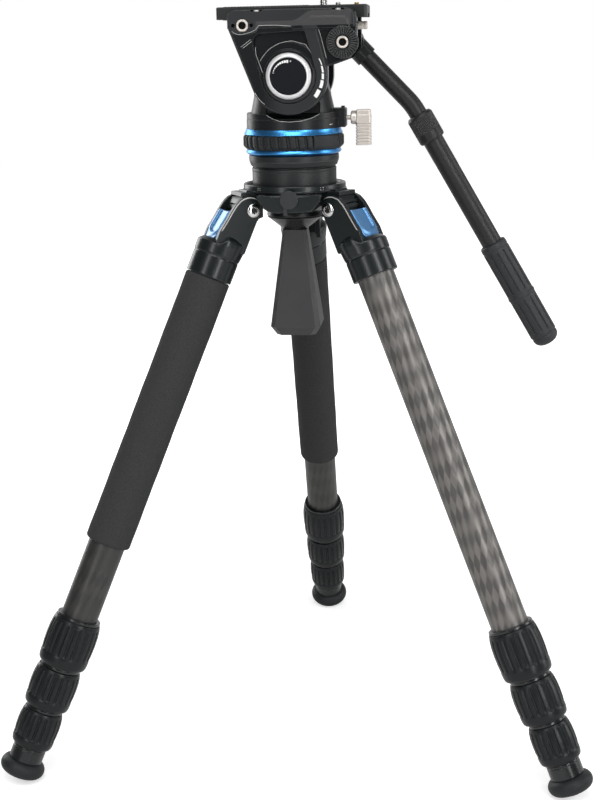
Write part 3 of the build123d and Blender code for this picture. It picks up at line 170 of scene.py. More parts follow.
# ---- node trees ----
class Tree:
    """The node tree of a material or a world, with short ways to add nodes to it."""

    def __init__(self, owner):
        owner.use_nodes = True
        self.nodes, self.link = owner.node_tree.nodes, owner.node_tree.links.new

    def add(self, kind, inputs=(), **settings):
        """A node with its settings, then its inputs: another node's output is linked, a value is set."""
        node = self.nodes.new(kind)
        for key, value in settings.items():
            setattr(node, key, value)
        for key, value in dict(inputs).items():
            if isinstance(value, bpy.types.NodeSocket):
                self.link(value, node.inputs[key])
            else:
                node.inputs[key].default_value = value
        return node

    def maths(self, kind, *values):
        """One sum of values or outputs."""
        return self.add("ShaderNodeMath", enumerate(values), operation=kind).outputs["Value"]

    def span(self, value, start, end, low=0, high=1, kind="LINEAR"):
        """A value carried from the range start to end over to the range low to high."""
        ends = {"Value": value, "From Min": start, "From Max": end, "To Min": low, "To Max": high}
        return self.add("ShaderNodeMapRange", ends, interpolation_type=kind).outputs["Result"]

    def step(self, value, start, end):
        """0 at start, 1 at end, and a smooth step between."""
        return self.span(value, start, end, kind="SMOOTHSTEP")

    def noise(self, place, scale, detail):
        """Soft noise of a place."""
        return self.add("ShaderNodeTexNoise", {"Vector": place, "Scale": scale, "Detail": detail}).outputs["Fac"]

    def mix(self, factor, a, b, kind="RGBA", blend="MIX"):
        """a where the factor is 0 and b where it is 1."""
        return self.add("ShaderNodeMix", {"Factor": factor, "A": a, "B": b}, data_type=kind,
                        blend_type=blend).outputs["Result"]

    def ramp(self, fac, *stops):
        """Colours blended between two stops, each a position and a colour."""
        node = self.add("ShaderNodeValToRGB", {"Fac": fac})
        for stop, (position, colour) in zip(node.color_ramp.elements, stops):
            stop.position, stop.color = position, (*colour, 1)
        return node.outputs["Color"]


# ---- finishes ----
LACQUER_ROUGH = 0.12
WEAR_AND_SHINE_FROM, WEAR_AND_SHINE_TO = 0.995, 0.90    # agreement of the rounded and the true normal where edge wear, with its painted edge highlight, starts and is full
UNEVEN = 0.15                       # share by which the roughness swings
GRAIN_DEPTH, LEAST_GRAIN = 0.0002, 0.02
WEAR_AND_SHINE_GAIN, WEAR_AND_SHINE_LIFT = 2.2, 0.16    # from a finish's colour to that of its worn edges, which also carry a painted highlight


def finish(name, colour, rough, metal=0, mottle=0.06, patch=60, grain=0, grain_size=1500, edge=0.25,
           edge_r=0.0004, coat=0, specular=0.5, alter=None):
    """Material: base colour with cloudy variation, worn edges painted bright as edge highlights, fine surface grain and
    uneven gloss.

    Clouds are noise on Object coordinates; worn edges with their painted highlight are where the rounded normal leaves
    the true one.
    alter(tree, place, tone, gloss) gives another colour and roughness to use for tone and gloss.
    """
    m = bpy.data.materials.new(name)
    t = Tree(m)
    shader = t.nodes["Principled BSDF"]
    shader.inputs["Metallic"].default_value = metal
    shader.inputs["Coat Weight"].default_value = coat
    shader.inputs["Coat Roughness"].default_value = LACQUER_ROUGH
    shader.inputs["Specular IOR Level"].default_value = specular
    place = t.add("ShaderNodeTexCoord").outputs["Object"]

    dark, light = [c * (1 - mottle) for c in colour], [min(1, c * (1 + mottle)) for c in colour]
    tone = t.ramp(t.noise(place, patch, 4), (0.3, dark), (0.7, light))
    speck = t.noise(place, grain_size, 2)
    gloss = t.span(speck, 0, 1, rough * (1 - UNEVEN), rough * (1 + UNEVEN))
    if alter:
        tone, gloss = alter(t, place, tone, gloss)

    rounded = t.add("ShaderNodeBevel", {"Radius": edge_r}, samples=4).outputs["Normal"]
    true = t.add("ShaderNodeNewGeometry").outputs["Normal"]
    agree = t.add("ShaderNodeVectorMath", {0: rounded, 1: true}, operation="DOT_PRODUCT").outputs["Value"]
    # the edges' bright colour is partly wear and partly a painted highlight where light would catch them
    worn_and_shining_colour = (*[min(1, c * WEAR_AND_SHINE_GAIN + WEAR_AND_SHINE_LIFT) for c in colour], 1)
    worn_and_shining_edges = t.mix(t.span(agree, WEAR_AND_SHINE_FROM, WEAR_AND_SHINE_TO, 0, edge), tone, worn_and_shining_colour)
    bump = t.add("ShaderNodeBump", {
        "Strength": max(grain, LEAST_GRAIN), "Distance": GRAIN_DEPTH, "Height": speck, "Normal": rounded,
    }).outputs["Normal"]
    for key, value in (("Base Color", worn_and_shining_edges), ("Roughness", gloss), ("Normal", bump)):
        t.link(value, shader.inputs[key])
    return m


def carbon(name, deep, pale, least, most):
    """Carbon tube: long slanted diamonds of grey weave under lacquer, on the tube's own UV map.

    Two sets of helical stripes cross; where both are light the weave is pale, where both are dark it is
    deep. The contrast wanders between least and most with slow noise.
    """
    stripes, right_pitch, left_pitch = TURN * 8, 225, 79.0

    def weave(t, place, tone, gloss):
        uv = t.add("ShaderNodeUVMap", uv_map="along").outputs["UV"]
        parts = t.add("ShaderNodeSeparateXYZ", {"Vector": uv}).outputs
        around = t.maths("MULTIPLY", parts["X"], stripes)
        shift = t.maths("MULTIPLY", t.noise(place, 30, 2), 1.6)
        hands = [
            t.maths("SINE", t.maths("ADD", t.maths(way, around, t.maths("MULTIPLY", parts["Y"], pitch)), shift))
            for way, pitch in (("ADD", right_pitch), ("SUBTRACT", left_pitch))
        ]
        contrast = t.span(t.noise(place, 42, 1), 0.38, 0.62, least, most)
        crossing = t.maths("ADD", t.maths("MULTIPLY", t.maths("MULTIPLY", *hands), contrast), 0.5)
        fibre = t.add("ShaderNodeTexWave", {"Vector": uv, "Scale": 60, "Distortion": 0.6}, bands_direction="X")
        pattern = t.ramp(crossing, (0.44, deep), (0.56, pale))
        return t.mix(0.25, pattern, fibre.outputs["Color"], blend="MULTIPLY"), gloss

    return finish(name, (0.10, 0.095, 0.09), 0.40, metal=0.55, grain_size=900, edge=0, alter=weave)


def cheek_finish():
    """Satin black of the cheeks: pale on the bar, the strut and the low side of the lobe, and deep elsewhere.

    A tone is chosen from the part's own x and height: the pale share is the largest of three smooth
    steps, over the bar's lower edge, across the strut's slanting centre line, and inside the lobe's foot.
    The band of the sloping facet along the bar is brighter still, as a painted highlight.
    """
    deep, deep_rough, facet_highlight_tone = (0.0045, 0.0060, 0.0070, 1), 0.26, (0.045, 0.045, 0.047, 1)

    def patches(t, place, tone, gloss):
        maths, step = t.maths, t.step
        parts = t.add("ShaderNodeSeparateXYZ", {"Vector": place}).outputs
        x = maths("MULTIPLY", parts["X"], 1000)
        h = maths("MULTIPLY", maths("SUBTRACT", parts["Z"], HINGE_Z), 1000)
        bar = step(maths("ADD", h, maths("MULTIPLY", step(x, -22, -26), 5.2)), 151.2, 151.7)
        centre = maths("SUBTRACT", 61.7, maths("MULTIPLY", h, 0.281))
        strut = step(maths("ABSOLUTE", maths("SUBTRACT", x, centre)), 6.6, 5.6)
        foot = maths("MULTIPLY", step(x, -24, -2), step(h, 116, 108))
        face = step(maths("ABSOLUTE", parts["Y"]), 0.0369, 0.0375)
        pale = maths("MULTIPLY", maths("MAXIMUM", bar, maths("MAXIMUM", strut, foot)), face)
        # the facet band: a brighter tone painted on the sloping facet as a highlight
        below = step(maths("SUBTRACT", h, maths("MULTIPLY", step(x, 4, 22.5), 8)), 155.7, 155.3)
        inside = step(maths("ABSOLUTE", maths("SUBTRACT", x, 14)), 40, 38.5)
        facet_highlight = maths("MULTIPLY", maths("MULTIPLY", below, bar), inside)
        bright = t.mix(facet_highlight, tone, facet_highlight_tone)
        return t.mix(pale, deep, bright), t.mix(pale, deep_rough, gloss, kind="FLOAT")

    return finish("black_cheek", (0.018, 0.019, 0.021), 0.40, metal=0.1, grain=0.10, grain_size=2600, edge=0.55,
                  specular=0.3, alter=patches)


BLACK = finish("black_anodised_satin", (0.010, 0.011, 0.012), 0.42, metal=0.05, grain=0.10, grain_size=2600,
               edge=0.45, specular=0.4)
CHEEK = cheek_finish()
BASE = finish("black_base_satin", (0.006, 0.007, 0.008), 0.36, metal=0.05, grain=0.06, grain_size=2600, edge=0.5,
              specular=0.3)
CAST = finish("black_cast_gloss", (0.006, 0.009, 0.010), 0.31, metal=0.1, grain=0.04, grain_size=1200, edge=0.35,
              coat=0.15, specular=0.4)
GLOSS = finish("black_gloss_ring", (0.006, 0.007, 0.008), 0.28, metal=0.2, grain=0.02, edge=0.3, coat=0.3)
PLASTIC = finish("black_plastic_grained", (0.023, 0.023, 0.025), 0.44, grain=0.45, grain_size=1800, edge=0.25)
RUBBER = finish("black_rubber_matt", (0.013, 0.015, 0.016), 0.52, grain=0.30, grain_size=1400, edge=0.2, specular=0.3)
LOCK_RUBBER = finish("black_rubber_moulded", (0.0095, 0.011, 0.012), 0.30, grain=0.05, grain_size=1400, edge=0.3,
                     specular=0.24)
GRIP = finish("grip_rubber", (0.021, 0.022, 0.024), 0.50, grain=0.25, grain_size=1600, edge=0.15, specular=0.35)
FOAM = finish("foam_fine_cell", (0.034, 0.034, 0.035), 0.92, mottle=0.18, patch=900, grain=0.9, grain_size=1700,
              edge=0, specular=0.2)
BLUE = finish("blue_anodised", (0.07, 0.34, 0.78), 0.30, metal=1, mottle=0.03, grain=0.02, edge=0.15)
TAB_BLUE = finish("blue_satin_cast", (0.09, 0.25, 0.50), 0.32, metal=0.6, mottle=0.04, grain=0.05, grain_size=2600,
                  edge=0.5, coat=0.5)
SILVER = finish("satin_silver", (0.66, 0.61, 0.56), 0.36, metal=0.55, mottle=0.03, grain=0.05, edge=0.15)
RING = finish("bright_ring", (0.68, 0.67, 0.68), 0.40, metal=0.4, mottle=0.01, grain=0, edge=0.05)
# bright metal for real screw heads, and also for painted highlights on edges, the pan sill and the spider rim
BARE_METAL_AND_HIGHLIGHT = finish("bare_metal_and_painted_highlight", (0.50, 0.49, 0.48), 0.36, metal=0.5, mottle=0.05, edge=0.1)
# near-black for discs set in bores as painted shade
PAINTED_SHADE_DISC = finish("painted_shade_bore", (0.003, 0.003, 0.003), 0.6, edge=0, specular=0.1)
TEETH = finish("black_rosette", (0.008, 0.008, 0.009), 0.32, metal=0.2, grain=0.02, edge=1, edge_r=0.0003,
               specular=0.35)
TUBE_BLACK = finish("black_tube_satin", (0.013, 0.013, 0.013), 0.44, metal=0.25, grain=0, edge=0.3)
FACE = finish("dial_face_black", (0.006, 0.007, 0.010), 0.36, grain=0.06, grain_size=2400, edge=0.1, specular=0.14)
CONE = finish("cone_satin", (0.022, 0.022, 0.023), 0.28, metal=0.3, grain=0.05, grain_size=2600, edge=0.3)
CHROME = finish("polished_steel", (0.62, 0.61, 0.60), 0.10, metal=1, mottle=0.03, grain=0.02, edge=0.1)
BRASS = finish("brass_pin", (0.55, 0.36, 0.10), 0.25, metal=0.9, mottle=0.05, edge=0.1)
WHITE = finish("white_paint", (0.78, 0.78, 0.77), 0.5, mottle=0.05, edge=0)
# one weave in three copies: the right leg's is painted lighter with stronger diamonds, as if lit; the left and rear
# ones are darker, painted shade
CARBON = {
    "left": carbon("carbon_weave_painted_shade", (0.048, 0.048, 0.047), (0.066, 0.064, 0.061), 0.02, 0.3),
    "right": carbon("carbon_weave_painted_light", (0.108, 0.104, 0.099), (0.205, 0.193, 0.182), 0.08, 0.42),
    "rear": carbon("carbon_weave_plain_painted_shade", (0.055, 0.054, 0.052), (0.072, 0.070, 0.067), 0.02, 0.3),
}


# ---- meshes ----
def along(line):
    """Distance from the start of a polyline at each of its points."""
    return np.r_[0, np.cumsum(np.linalg.norm(np.diff(line, axis=0), axis=1))]


def skin(name, points, where, material, body, closed=(True, False), sharp=35):
    """Mesh through a grid of points of shape (rows, columns, 3) in the millimetres of a seat.

    Each quad joins a point to the next in its row and column. closed says whether columns and rows
    come round to their start. Equal points are welded, so a row at one point makes a pole. The map
    "along" runs in turns round and metres along the first column.
    """
    rows, columns = points.shape[:2]
    flat = points.reshape(-1, 3) @ where[:3, :3].T + where[:3, 3]
    i, j = np.meshgrid(np.arange(rows - (not closed[1])), np.arange(columns - (not closed[0])), indexing="ij")
    i, j = i.ravel(), j.ravel()
    down, right = (i + 1) % rows, (j + 1) % columns
    quads = np.stack([i * columns + j, down * columns + j, down * columns + right, i * columns + right], 1)
    mesh = bpy.data.meshes.new(name)
    mesh.from_pydata(flat.tolist(), [], quads.tolist())
    length = np.append(along(points[:, 0]), 0) * MM
    length[-1] = length[-2] + MM
    around = (i, j), (i + 1, j), (i + 1, j + 1), (i, j + 1)
    corners = np.stack([np.stack([b / columns, length[a]], -1) for a, b in around], 1)
    layer = mesh.uv_layers.new(name="along")
    layer.uv.foreach_set("vector", corners.astype(np.float32).ravel())
    work = bmesh.new()
    work.from_mesh(mesh)
    bmesh.ops.remove_doubles(work, verts=work.verts, dist=WELD)
    bmesh.ops.recalc_face_normals(work, faces=work.faces)
    work.to_mesh(mesh)
    work.free()
    mesh.materials.append(material)
    mesh.shade_smooth()
    mesh.set_sharp_from_angle(angle=math.radians(sharp))
    piece = bpy.data.objects.new(name, mesh)
    bpy.context.scene.collection.objects.link(piece)
    even = piece.modifiers.new("even_shading", "WEIGHTED_NORMAL")
    even.keep_sharp = True
    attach(piece, body)
    return piece


def softened(profile, radius, ring=True):
    """Profile with each corner replaced by a quadratic arc that starts and ends radius before and after it."""
    p = np.asarray(profile, float)

    def towards(neighbour):
        way = neighbour - p
        far = np.linalg.norm(way, axis=1)
        return p + way * (np.minimum(radius, 0.45 * far) / np.maximum(far, 1e-9))[:, None]

    a, b = towards(np.roll(p, 1, 0)), towards(np.roll(p, -1, 0))
    s = np.linspace(0, 1, 5)[None, :, None]
    arcs = (1 - s) ** 2 * a[:, None] + 2 * s * (1 - s) * p[:, None] + s ** 2 * b[:, None]
    if not ring:
        arcs[0], arcs[-1] = p[0], p[-1]
    return arcs.reshape(-1, 2)


def turn(segments):
    """Angles evenly round one turn."""
    return np.arange(segments) * TURN / segments


def polar(r, angle, z):
    """Points at a radius, an angle and a height: x = r cos a, y = r sin a."""
    return np.stack(np.broadcast_arrays(r * np.cos(angle), r * np.sin(angle), z), -1)


def turned(profile, segments=96, relief=None):
    """Grid of a profile (radius, height) turned about z: x = r cos a, y = r sin a, z = height.

    relief(angle, row share) is added to the radius.
    """
    profile = np.asarray(profile, float)
    r, z, angle = profile[:, :1], profile[:, 1:], turn(segments)
    if relief is not None:
        r = r + relief(angle[None, :], np.linspace(0, 1, len(profile))[:, None])
    return polar(r, angle, z)


def resampled(profile, count):
    """The profile's polyline at count points spaced evenly along its length."""
    p = np.asarray(profile, float)
    run = along(p)
    at = np.linspace(0, run[-1], count)
    return np.stack([np.interp(at, run, p[:, 0]), np.interp(at, run, p[:, 1])], -1)


def smooth(x):
    """0 below 0, 1 above 1, and 3x^2 - 2x^3 between."""
    x = np.clip(x, 0, 1)
    return x * x * (3 - 2 * x)


def between(x, low, high, rise, fall=None):
    """1 from low + rise to high - fall, 0 outside low to high, and smooth steps between."""
    return smooth((x - low) / rise) * smooth((high - x) / (fall or rise))


def down(profile):
    """A profile given as (radius, distance down the leg), with its heights turned up."""
    p = np.asarray(profile, float)
    return p * [1, -1]


# ---- leg pieces ----
def hand(side):
    """Last letter of a piece on one side of a leg."""
    return "a" if side > 0 else "b"


def section_body(leg, k):
    """Body that carries tube k of a leg, counted from 0."""
    return f"leg_{leg}" if k == 0 else f"section_{k + 1}_{leg}"


def tube(leg, k):
    """Carbon tube: a long ring section, its map in turns round and metres along."""
    end = (LOCK_TOP[k] + SLEEVE_LEN[k] - 2.5) if k < 3 else STUB_END - 2.6
    r, top = TUBE_R[k], TUBE_TOP[k]
    inner = r - TUBE_WALL
    outer = np.stack([np.full(9, r), np.linspace(top + 0.5, end - 0.5, 9)], -1)
    bore = np.stack([np.full(3, inner), np.linspace(end - 0.4, top + 0.4, 3)], -1)
    ring = np.vstack([outer, [[r - 0.3, end]], bore, [[r - 0.3, top]]])
    return skin(f"carbon_tube_{k + 1}_{leg}", turned(down(ring), 64), LEG_SEAT[leg], CARBON[leg],
                section_body(leg, k), closed=HOOP)


def sleeve(leg, k):
    """Black threaded sleeve at a tube's lower end: bare glossy ring, then ring grooves for the thread."""
    r, top = TUBE_R[k], LOCK_TOP[k] + GAP
    end = LOCK_TOP[k] + SLEEVE_LEN[k]
    ring, thread = r + 3.3, r + 2.0
    pitch = 1.5
    turns = int((end - top - BARE_RING) / pitch) - 1
    crest = top + BARE_RING + np.arange(turns * 2) * pitch / 2
    cut = np.stack([np.where(np.arange(turns * 2) % 2 == 0, thread, thread - 0.5), crest], -1)
    lip = softened([(r + 0.05, top), (ring, top), (ring, top + BARE_RING - 0.3), (thread, top + BARE_RING - 0.2)],
                   0.7, ring=False)
    inside = TUBE_R[k + 1] + GAP
    outline = np.vstack([lip, cut, [(thread, end), (inside, end), (inside, end - 2.4), (r + 0.05, end - 2.4)]])
    return skin(f"thread_sleeve_{k + 1}_{leg}", turned(down(outline), 96), LEG_SEAT[leg], GLOSS,
                section_body(leg, k), closed=HOOP)


def lock_rubber(leg, k):
    """Rubber of a twist lock: a barrel with flutes that have rounded ends, over a plain lower band.

    A flute is a cosine groove in the angle, faded in and out along the barrel by smooth steps.
    """
    r = TUBE_R[k] + COLLET + SHELL_WALL + 0.05
    wide, top, lip = LOCK_R[k], LOCK_TOP[k] + GAP + BARE_RING, LOCK_LOW[k] - LIP
    span = lip - top
    outer = resampled([
        (wide - 2.2, top), (wide - 1.6, top + 0.05 * span), (wide - 1, top + 0.12 * span),
        (wide - 0.25, top + 0.28 * span), (wide, top + 0.48 * span), (wide - 0.2, top + 0.70 * span),
        (wide - 0.75, top + 0.86 * span), (wide - 0.95, top + 0.97 * span), (wide - 1.1, lip + 0.6),
        (wide - 1.9, lip + 3.4),
    ], 44)
    outline = np.vstack([outer, [(r + 0.4, lip + 3.4), (r, lip - 4), (r, top)]])
    flutes, flute_depth, low_band = 21, 1.25, 0.775

    def relief(angle, share):
        t = share * (len(outline) - 1) / (len(outer) - 1)
        fade = between(t, 0.07, 0.76, 0.05, 0.035)
        groove = smooth((np.cos(angle * flutes) - 0.10) / 0.65)
        band = between(t, low_band, 1, 0.02) * 0.35
        seam = 0.25 * (1 - smooth(abs(t - low_band) / 0.012))
        return np.where(t <= 1, -flute_depth * groove * fade + band - seam, 0)

    return skin(f"lock_rubber_{k + 1}_{leg}", turned(down(outline), flutes * 12, relief), LEG_SEAT[leg], LOCK_RUBBER,
                f"twist_lock_{k + 1}_{leg}", closed=HOOP, sharp=60)


def lock_shell(leg, k):
    """Metal shell inside the rubber: a thin ring that shows at the top and as a glossy lip below."""
    bore = TUBE_R[k] + COLLET
    top, low = LOCK_TOP[k] + GAP + BARE_RING, LOCK_LOW[k]
    lip, out = low - LIP, bore + SHELL_WALL
    below = TUBE_R[k + 1] + GAP
    outline = softened([(bore, top), (out, top), (out, lip - 4), (out - 0.8, low), (below, low),
                        (below, lip), (bore - 1.6, lip), (bore, lip - 5)], 0.4)
    return skin(f"lock_shell_{k + 1}_{leg}", turned(down(outline), 96), LEG_SEAT[leg], GLOSS,
                f"twist_lock_{k + 1}_{leg}", closed=HOOP)


def ferrule(leg):
    """Glossy ferrule over the foot, with a fine groove round its top."""
    r = TUBE_R[3] + 0.05
    outline = softened([
        (r, STUB_LOW), (STUB_R - 0.3, STUB_LOW), (STUB_R, STUB_LOW + 0.5), (STUB_R, STUB_LOW + 1.8),
        (STUB_R - 0.5, STUB_LOW + 2.2), (STUB_R, STUB_LOW + 2.6), (STUB_R, STUB_END),
        (8.06, STUB_END), (8.06, STUB_END - 2.4), (r, STUB_END - 2.4),
    ], 0.25)
    return skin(f"foot_ferrule_{leg}", turned(down(outline), 96), LEG_SEAT[leg], GLOSS,
                section_body(leg, 3), closed=HOOP)


def foam_sleeve(leg):
    """Foam leg warmer: a thick tube with rolled ends and a faint waviness in its radius."""
    inner, out, roll = TUBE_R[0] + 0.1, FOAM_R, 2.4
    wall = np.stack([np.full(60, out), np.linspace(FOAM_TOP + roll, FOAM_END - roll, 60)], -1)
    s = np.linspace(0, np.pi / 2, 7)
    head = np.stack([out - roll + roll * np.sin(s), FOAM_TOP + roll - roll * np.cos(s)], -1)
    foot = np.stack([out - roll + roll * np.cos(s), FOAM_END - roll + roll * np.sin(s)], -1)
    outline = np.vstack([[(inner, FOAM_TOP + 0.6)], head, wall[1:-1], foot, [(inner, FOAM_END - 0.6)]])

    def wavy(angle, share):
        swell = np.sin(share * 31 + 2 * np.sin(angle)) + 0.6 * np.sin(share * 74 + angle * 3 + 1)
        return 0.09 * swell * between(share, 0, 1, 0.08)

    piece = skin(f"foam_sleeve_{leg}", turned(down(outline), 96, wavy), LEG_SEAT[leg], FOAM,
                 f"leg_{leg}", closed=HOOP, sharp=80)
    return piece


def lobed(rows, angle):
    """Grid of rows, each a radius and a height, where a radius is a number or one for each angle."""
    return np.stack([polar(r + 0 * angle, angle, h) for r, h in rows])


def star_head(leg, end):
    """Button head of a pivot bolt: a domed disc with a six-lobed recess.

    The recess wall stands on radius 2.6 + 0.45 cos 6a; the dome is an arc from the rim to it.
    """
    angle = turn(96)
    lobes = 2.6 + 0.45 * np.cos(6 * angle)
    rows = [
        (0, 0), (6, 0), (6, 0.9), (5.8, 1.3), (5.2, 1.75), (4.4, 2.05), (3.6, 2.2),
        (lobes + 0.15, 2.26), (lobes, 2.1), (lobes * 0.94, 0.7), (0, 0.5),
    ]
    out, side, _, middle = LEG_SEAT[leg][:3].T
    side = side * end
    at = seat(middle - out * PIVOT_IN + side * (EAR_OUT - 1.25), out / MM, np.cross(side, out) / MM ** 2, side / MM)
    return skin(f"pivot_head_{leg}_{hand(end)}", lobed(rows, angle), at, CHROME, "spider", sharp=30)


# ---- build: legs ----
for leg in LEGS:
    for k in range(4):
        made = tube(leg, k)
        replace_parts(made, f"tube_{k + 1}_{leg}")
    for k in range(3):
        sleeve(leg, k)
        rubber = lock_rubber(leg, k)
        lock_shell(leg, k)
        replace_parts(rubber, f"twist_collar_{k + 1}_{leg}")
    ferrule(leg)
for leg in ("left", "rear"):
    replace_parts(foam_sleeve(leg), f"foam_grip_{leg}")
heads = [star_head(leg, end) for leg in LEGS for end in (-1, 1)]
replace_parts(heads[0], "leg_pivot_bolts")


# ---- head pieces ----
def threaded(radius, low, high, depth, segments):
    """Grid of a screw thread: radius less a sawtooth of height over pitch and of angle over a turn.

    The crest is flat for a third of the pitch, and the sides slope by depth.
    """
    angle = turn(segments)
    z = np.linspace(low, high, max(int((high - low) / THREAD_PITCH * 8), 8))[:, None]
    phase = (z / THREAD_PITCH - angle / TURN) % 1.0
    return polar(radius - depth * np.clip(abs(phase - 0.5) * 3 - 0.5, 0, 1), angle, z)


def rounding(inside, radius):
    """How far a face drops near its edge under a quarter round, from the distance inside the edge."""
    left = np.clip(radius - inside, 0, radius)
    return radius - np.sqrt(np.maximum(radius ** 2 - left ** 2, 0))


def capped(grid):
    """The grid with a row at the middle of its first row before it, and one at that of its last after it."""
    first, last = (np.repeat(row.mean(1, keepdims=True), grid.shape[1], 1) for row in (grid[:1], grid[-1:]))
    return np.vstack([first, grid, last])


def poled(rows, first, last):
    """Grid of rows with one more at a single point before them, and one after."""
    first, last = (np.tile(point, (len(rows[0]), 1)) for point in (first, last))
    return np.stack([first, *rows, last])


def mark(name, left, right, where, material, body):
    """Thin patch between two edge lines in the plane of a seat, standing a little out of it.

    Each row is a section left-low, left-high, right-high, right-low; the ends close on their middle.
    """
    low, high = -0.05, 0.07
    grid = np.array([[(*a, low), (*a, high), (*b, high), (*b, low)] for a, b in zip(left, right)])
    return skin(name, capped(grid), where, material, body, sharp=30)


def arc(radius, start, end, count=10):
    """Points on a circle round the seat's origin between two angles in degrees."""
    a = np.radians(np.linspace(start, end, count))
    return np.stack([radius * np.cos(a), radius * np.sin(a)], -1)


def dial():
    """Drag dial: bright domed ring with a finely fluted side, and a black face with a tapering scale."""
    at = facing(TILT_X, -CHEEK_OUT, TILT_H, FRONT)
    rim = resampled([
        (0, -1.5), (18.6, -1.5), (18.9, -1.2), (18.9, 1.6), (18.8, 2.3), (18.4, 3.1), (17.7, 3.8), (16.9, 4.35),
        (16.1, 4.7), (15.7, 4.75), (15.4, 4.65), (15.25, 4.35), (15.2, 3.7), (0, 3.7),
    ], 120)
    flutes, face_out = 120, 4.47

    def relief(angle, share):
        return -0.16 * between(share, 0.345, 0.40, 0.01) * (0.5 + 0.5 * np.cos(angle * flutes))

    ring = skin("dial_ring", turned(rim, flutes * 4, relief), at, RING, "friction_dial")
    skin("dial_face", turned([(15.2, 3.6), (15.2, 4.25), (14.95, 4.5), (13.9, 4.52), (13.75, 4.46), (0, 4.40)], 96),
         at, FACE, "friction_dial")
    paint = facing(TILT_X, -CHEEK_OUT - face_out, TILT_H, FRONT)
    first, pitch, swing, outer, inner, taper = 162, 9.5, 7.6, 13.1, 12.5, 0.24
    for i in range(8):
        start = first - i * pitch
        edges = (arc(r, start, start - swing, 5) for r in (outer, inner - taper * i))
        mark(f"dial_scale_{i + 1}", *edges, paint, WHITE, "friction_dial")
    length, width = 1.5, 0.4
    for name, x, y, lean in (("minus_1", -12.3, 2.9, 166), ("plus_1", 2.3, 12.1, 80), ("plus_2", 2.3, 12.1, -10)):
        d = about(lean)[0][:2]
        ends = np.array([(x, y)]) + np.outer([-length / 2, length / 2], d)
        mark(f"dial_{name}", *beside(ends, d, width / 2), paint, WHITE, "friction_dial")
    return ring


def beside(line, way, off):
    """The two lines at a distance to the left and right of a line that runs one way, or a way for each point."""
    n = np.stack([-way[..., 1], way[..., 0]], -1) * off
    return line + n, line - n


def tilt_scale():
    """White scale on the strut: five patches of a ring about the tilt axis, each wider than the last."""
    at = facing(TILT_X, -CHEEK_SPINE, TILT_H, FRONT)
    patches = ((28, 17.4, 0.8), (15.4, 5, 1.5), (2.9, -6, 1.9), (-8.3, -20.8, 2.5), (-25.2, -38.6, 3.3))
    r = 29.3
    for i, (start, end, wide) in enumerate(patches):
        mark(f"tilt_scale_{i + 1}", arc(r, start, end), arc(r - wide, start + 0.8, end), at, WHITE, "tilt_cage")


def insert(name, place, y, axes=FRONT):
    """Threaded insert: bright rounded ring with four key slots, a thread inside, and a dark disc across the bore as
    painted shade.

    The face drops by 1.4 mm where the radius is over 4.2 and the angle within 12 degrees of a quarter turn.
    """
    x, h = place
    at = facing(x, y, h, axes)
    bore = threaded(3.25, -7, -0.7, -0.28, 96)
    face = turned([(3.1, -0.5), (3.3, -0.1), (3.6, 0.12), (4, 0.2), (4.3, 0.18), (4.7, 0.05), (5, -0.25),
                   (5.1, -0.6), (5.1, -2)], 96)
    slots, slot_half, slot_depth = 4, 0.13, 1.4
    slotted = abs((turn(96) / TURN * slots + 0.5) % 1.0 - 0.5) < slot_half
    face[4:8, :, 2] -= slot_depth * slotted
    skin(name, np.vstack([bore, face]), at, SILVER, "tilt_cage", sharp=28)
    # the near-black disc inside the bore is painted shade, not a real floor
    skin(f"{name}_floor", turned([(3.6, -2.6), (3.5, -2.4), (0, -2.4)], 48), at, PAINTED_SHADE_DISC, "tilt_cage")


def rosette_teeth():
    """Face teeth of the rosette: 32 radial ridges that rise by a triangle wave of the angle, inside a plain rim.

    A tooth is 1.0 mm high at the rim and thins towards the insert, with a turned lip round the outside.
    """
    at = facing(ROSETTE[0], -39.8, ROSETTE[1], FRONT)
    count, segments = 32, 32 * 12
    grid = turned([
        (5, -1.2), (5.3, -0.55), (5.9, -0.45), (7, -0.4), (9, -0.35), (11.2, -0.3), (12, -0.3), (12.3, -0.5),
        (12.6, -0.1), (13, 0), (13.2, -0.3), (13.2, -2.2),
    ], segments)
    wave = 1 - 2 * abs((turn(segments) / TURN * count) % 1.0 - 0.5)
    rise = np.array([0, 0, 0.5, 0.75, 0.9, 1, 0.9, 0, 0, 0, 0, 0])
    grid[:, :, 2] += rise[:, None] * (smooth((wave[None, :] - 0.45) / 0.4) - 0.45)
    return skin("rosette_teeth", grid, at, TEETH, "tilt_cage", sharp=25)


def edge_lines():
    """Thin bright lines painted as highlights along the cheek's machined edges, each a strip along a polyline.

    Points are (x, height) on the cheek's front, in millimetres.
    """
    for name, (y, points) in PAINTED_EDGE_HIGHLIGHTS.items():
        p = np.asarray(points, float)
        d = np.gradient(p, axis=0)
        d /= np.linalg.norm(d, axis=1, keepdims=True)
        # each strip is a painted highlight of an edge
        mark(f"painted_edge_highlight_{name}", *beside(p, d, 0.19), facing(0, y, 0, FRONT), BARE_METAL_AND_HIGHLIGHT, "tilt_cage")


def edge_screw(name, x):
    """Small cap screw in a notch of the cheek's top edge, with a six-lobed recess."""
    at, angle = facing(x, -35.9, CHEEK_TOP - 1.8, UP), turn(48)
    lobes = 1.15 + 0.2 * np.cos(6 * angle)
    rows = [(2.2, -0.2), (2.2, 0.9), (2, 1.2), (1.6, 1.35), (lobes, 1.38), (lobes * 0.95, 0.4), (0, 0.35)]
    skin(name, lobed(rows, angle), at, BARE_METAL_AND_HIGHLIGHT, "tilt_cage", sharp=30)


def engraved_lines():
    """Two short bright machined lines on the front arm of the cheek."""
    at = facing(0, -CHEEK_SPINE + 0.6, 0, FRONT)
    d = unit([7.8, 6.2])
    for i, (x, h) in enumerate([(-36.6, 134), (-35.2, 132.8)]):
        ends = np.array([(x, h)]) + np.outer([0, 9.4 - 1.4 * i], d)
        mark(f"machined_line_{i + 1}", *beside(ends, d, 0.16), at, SILVER, "tilt_cage")


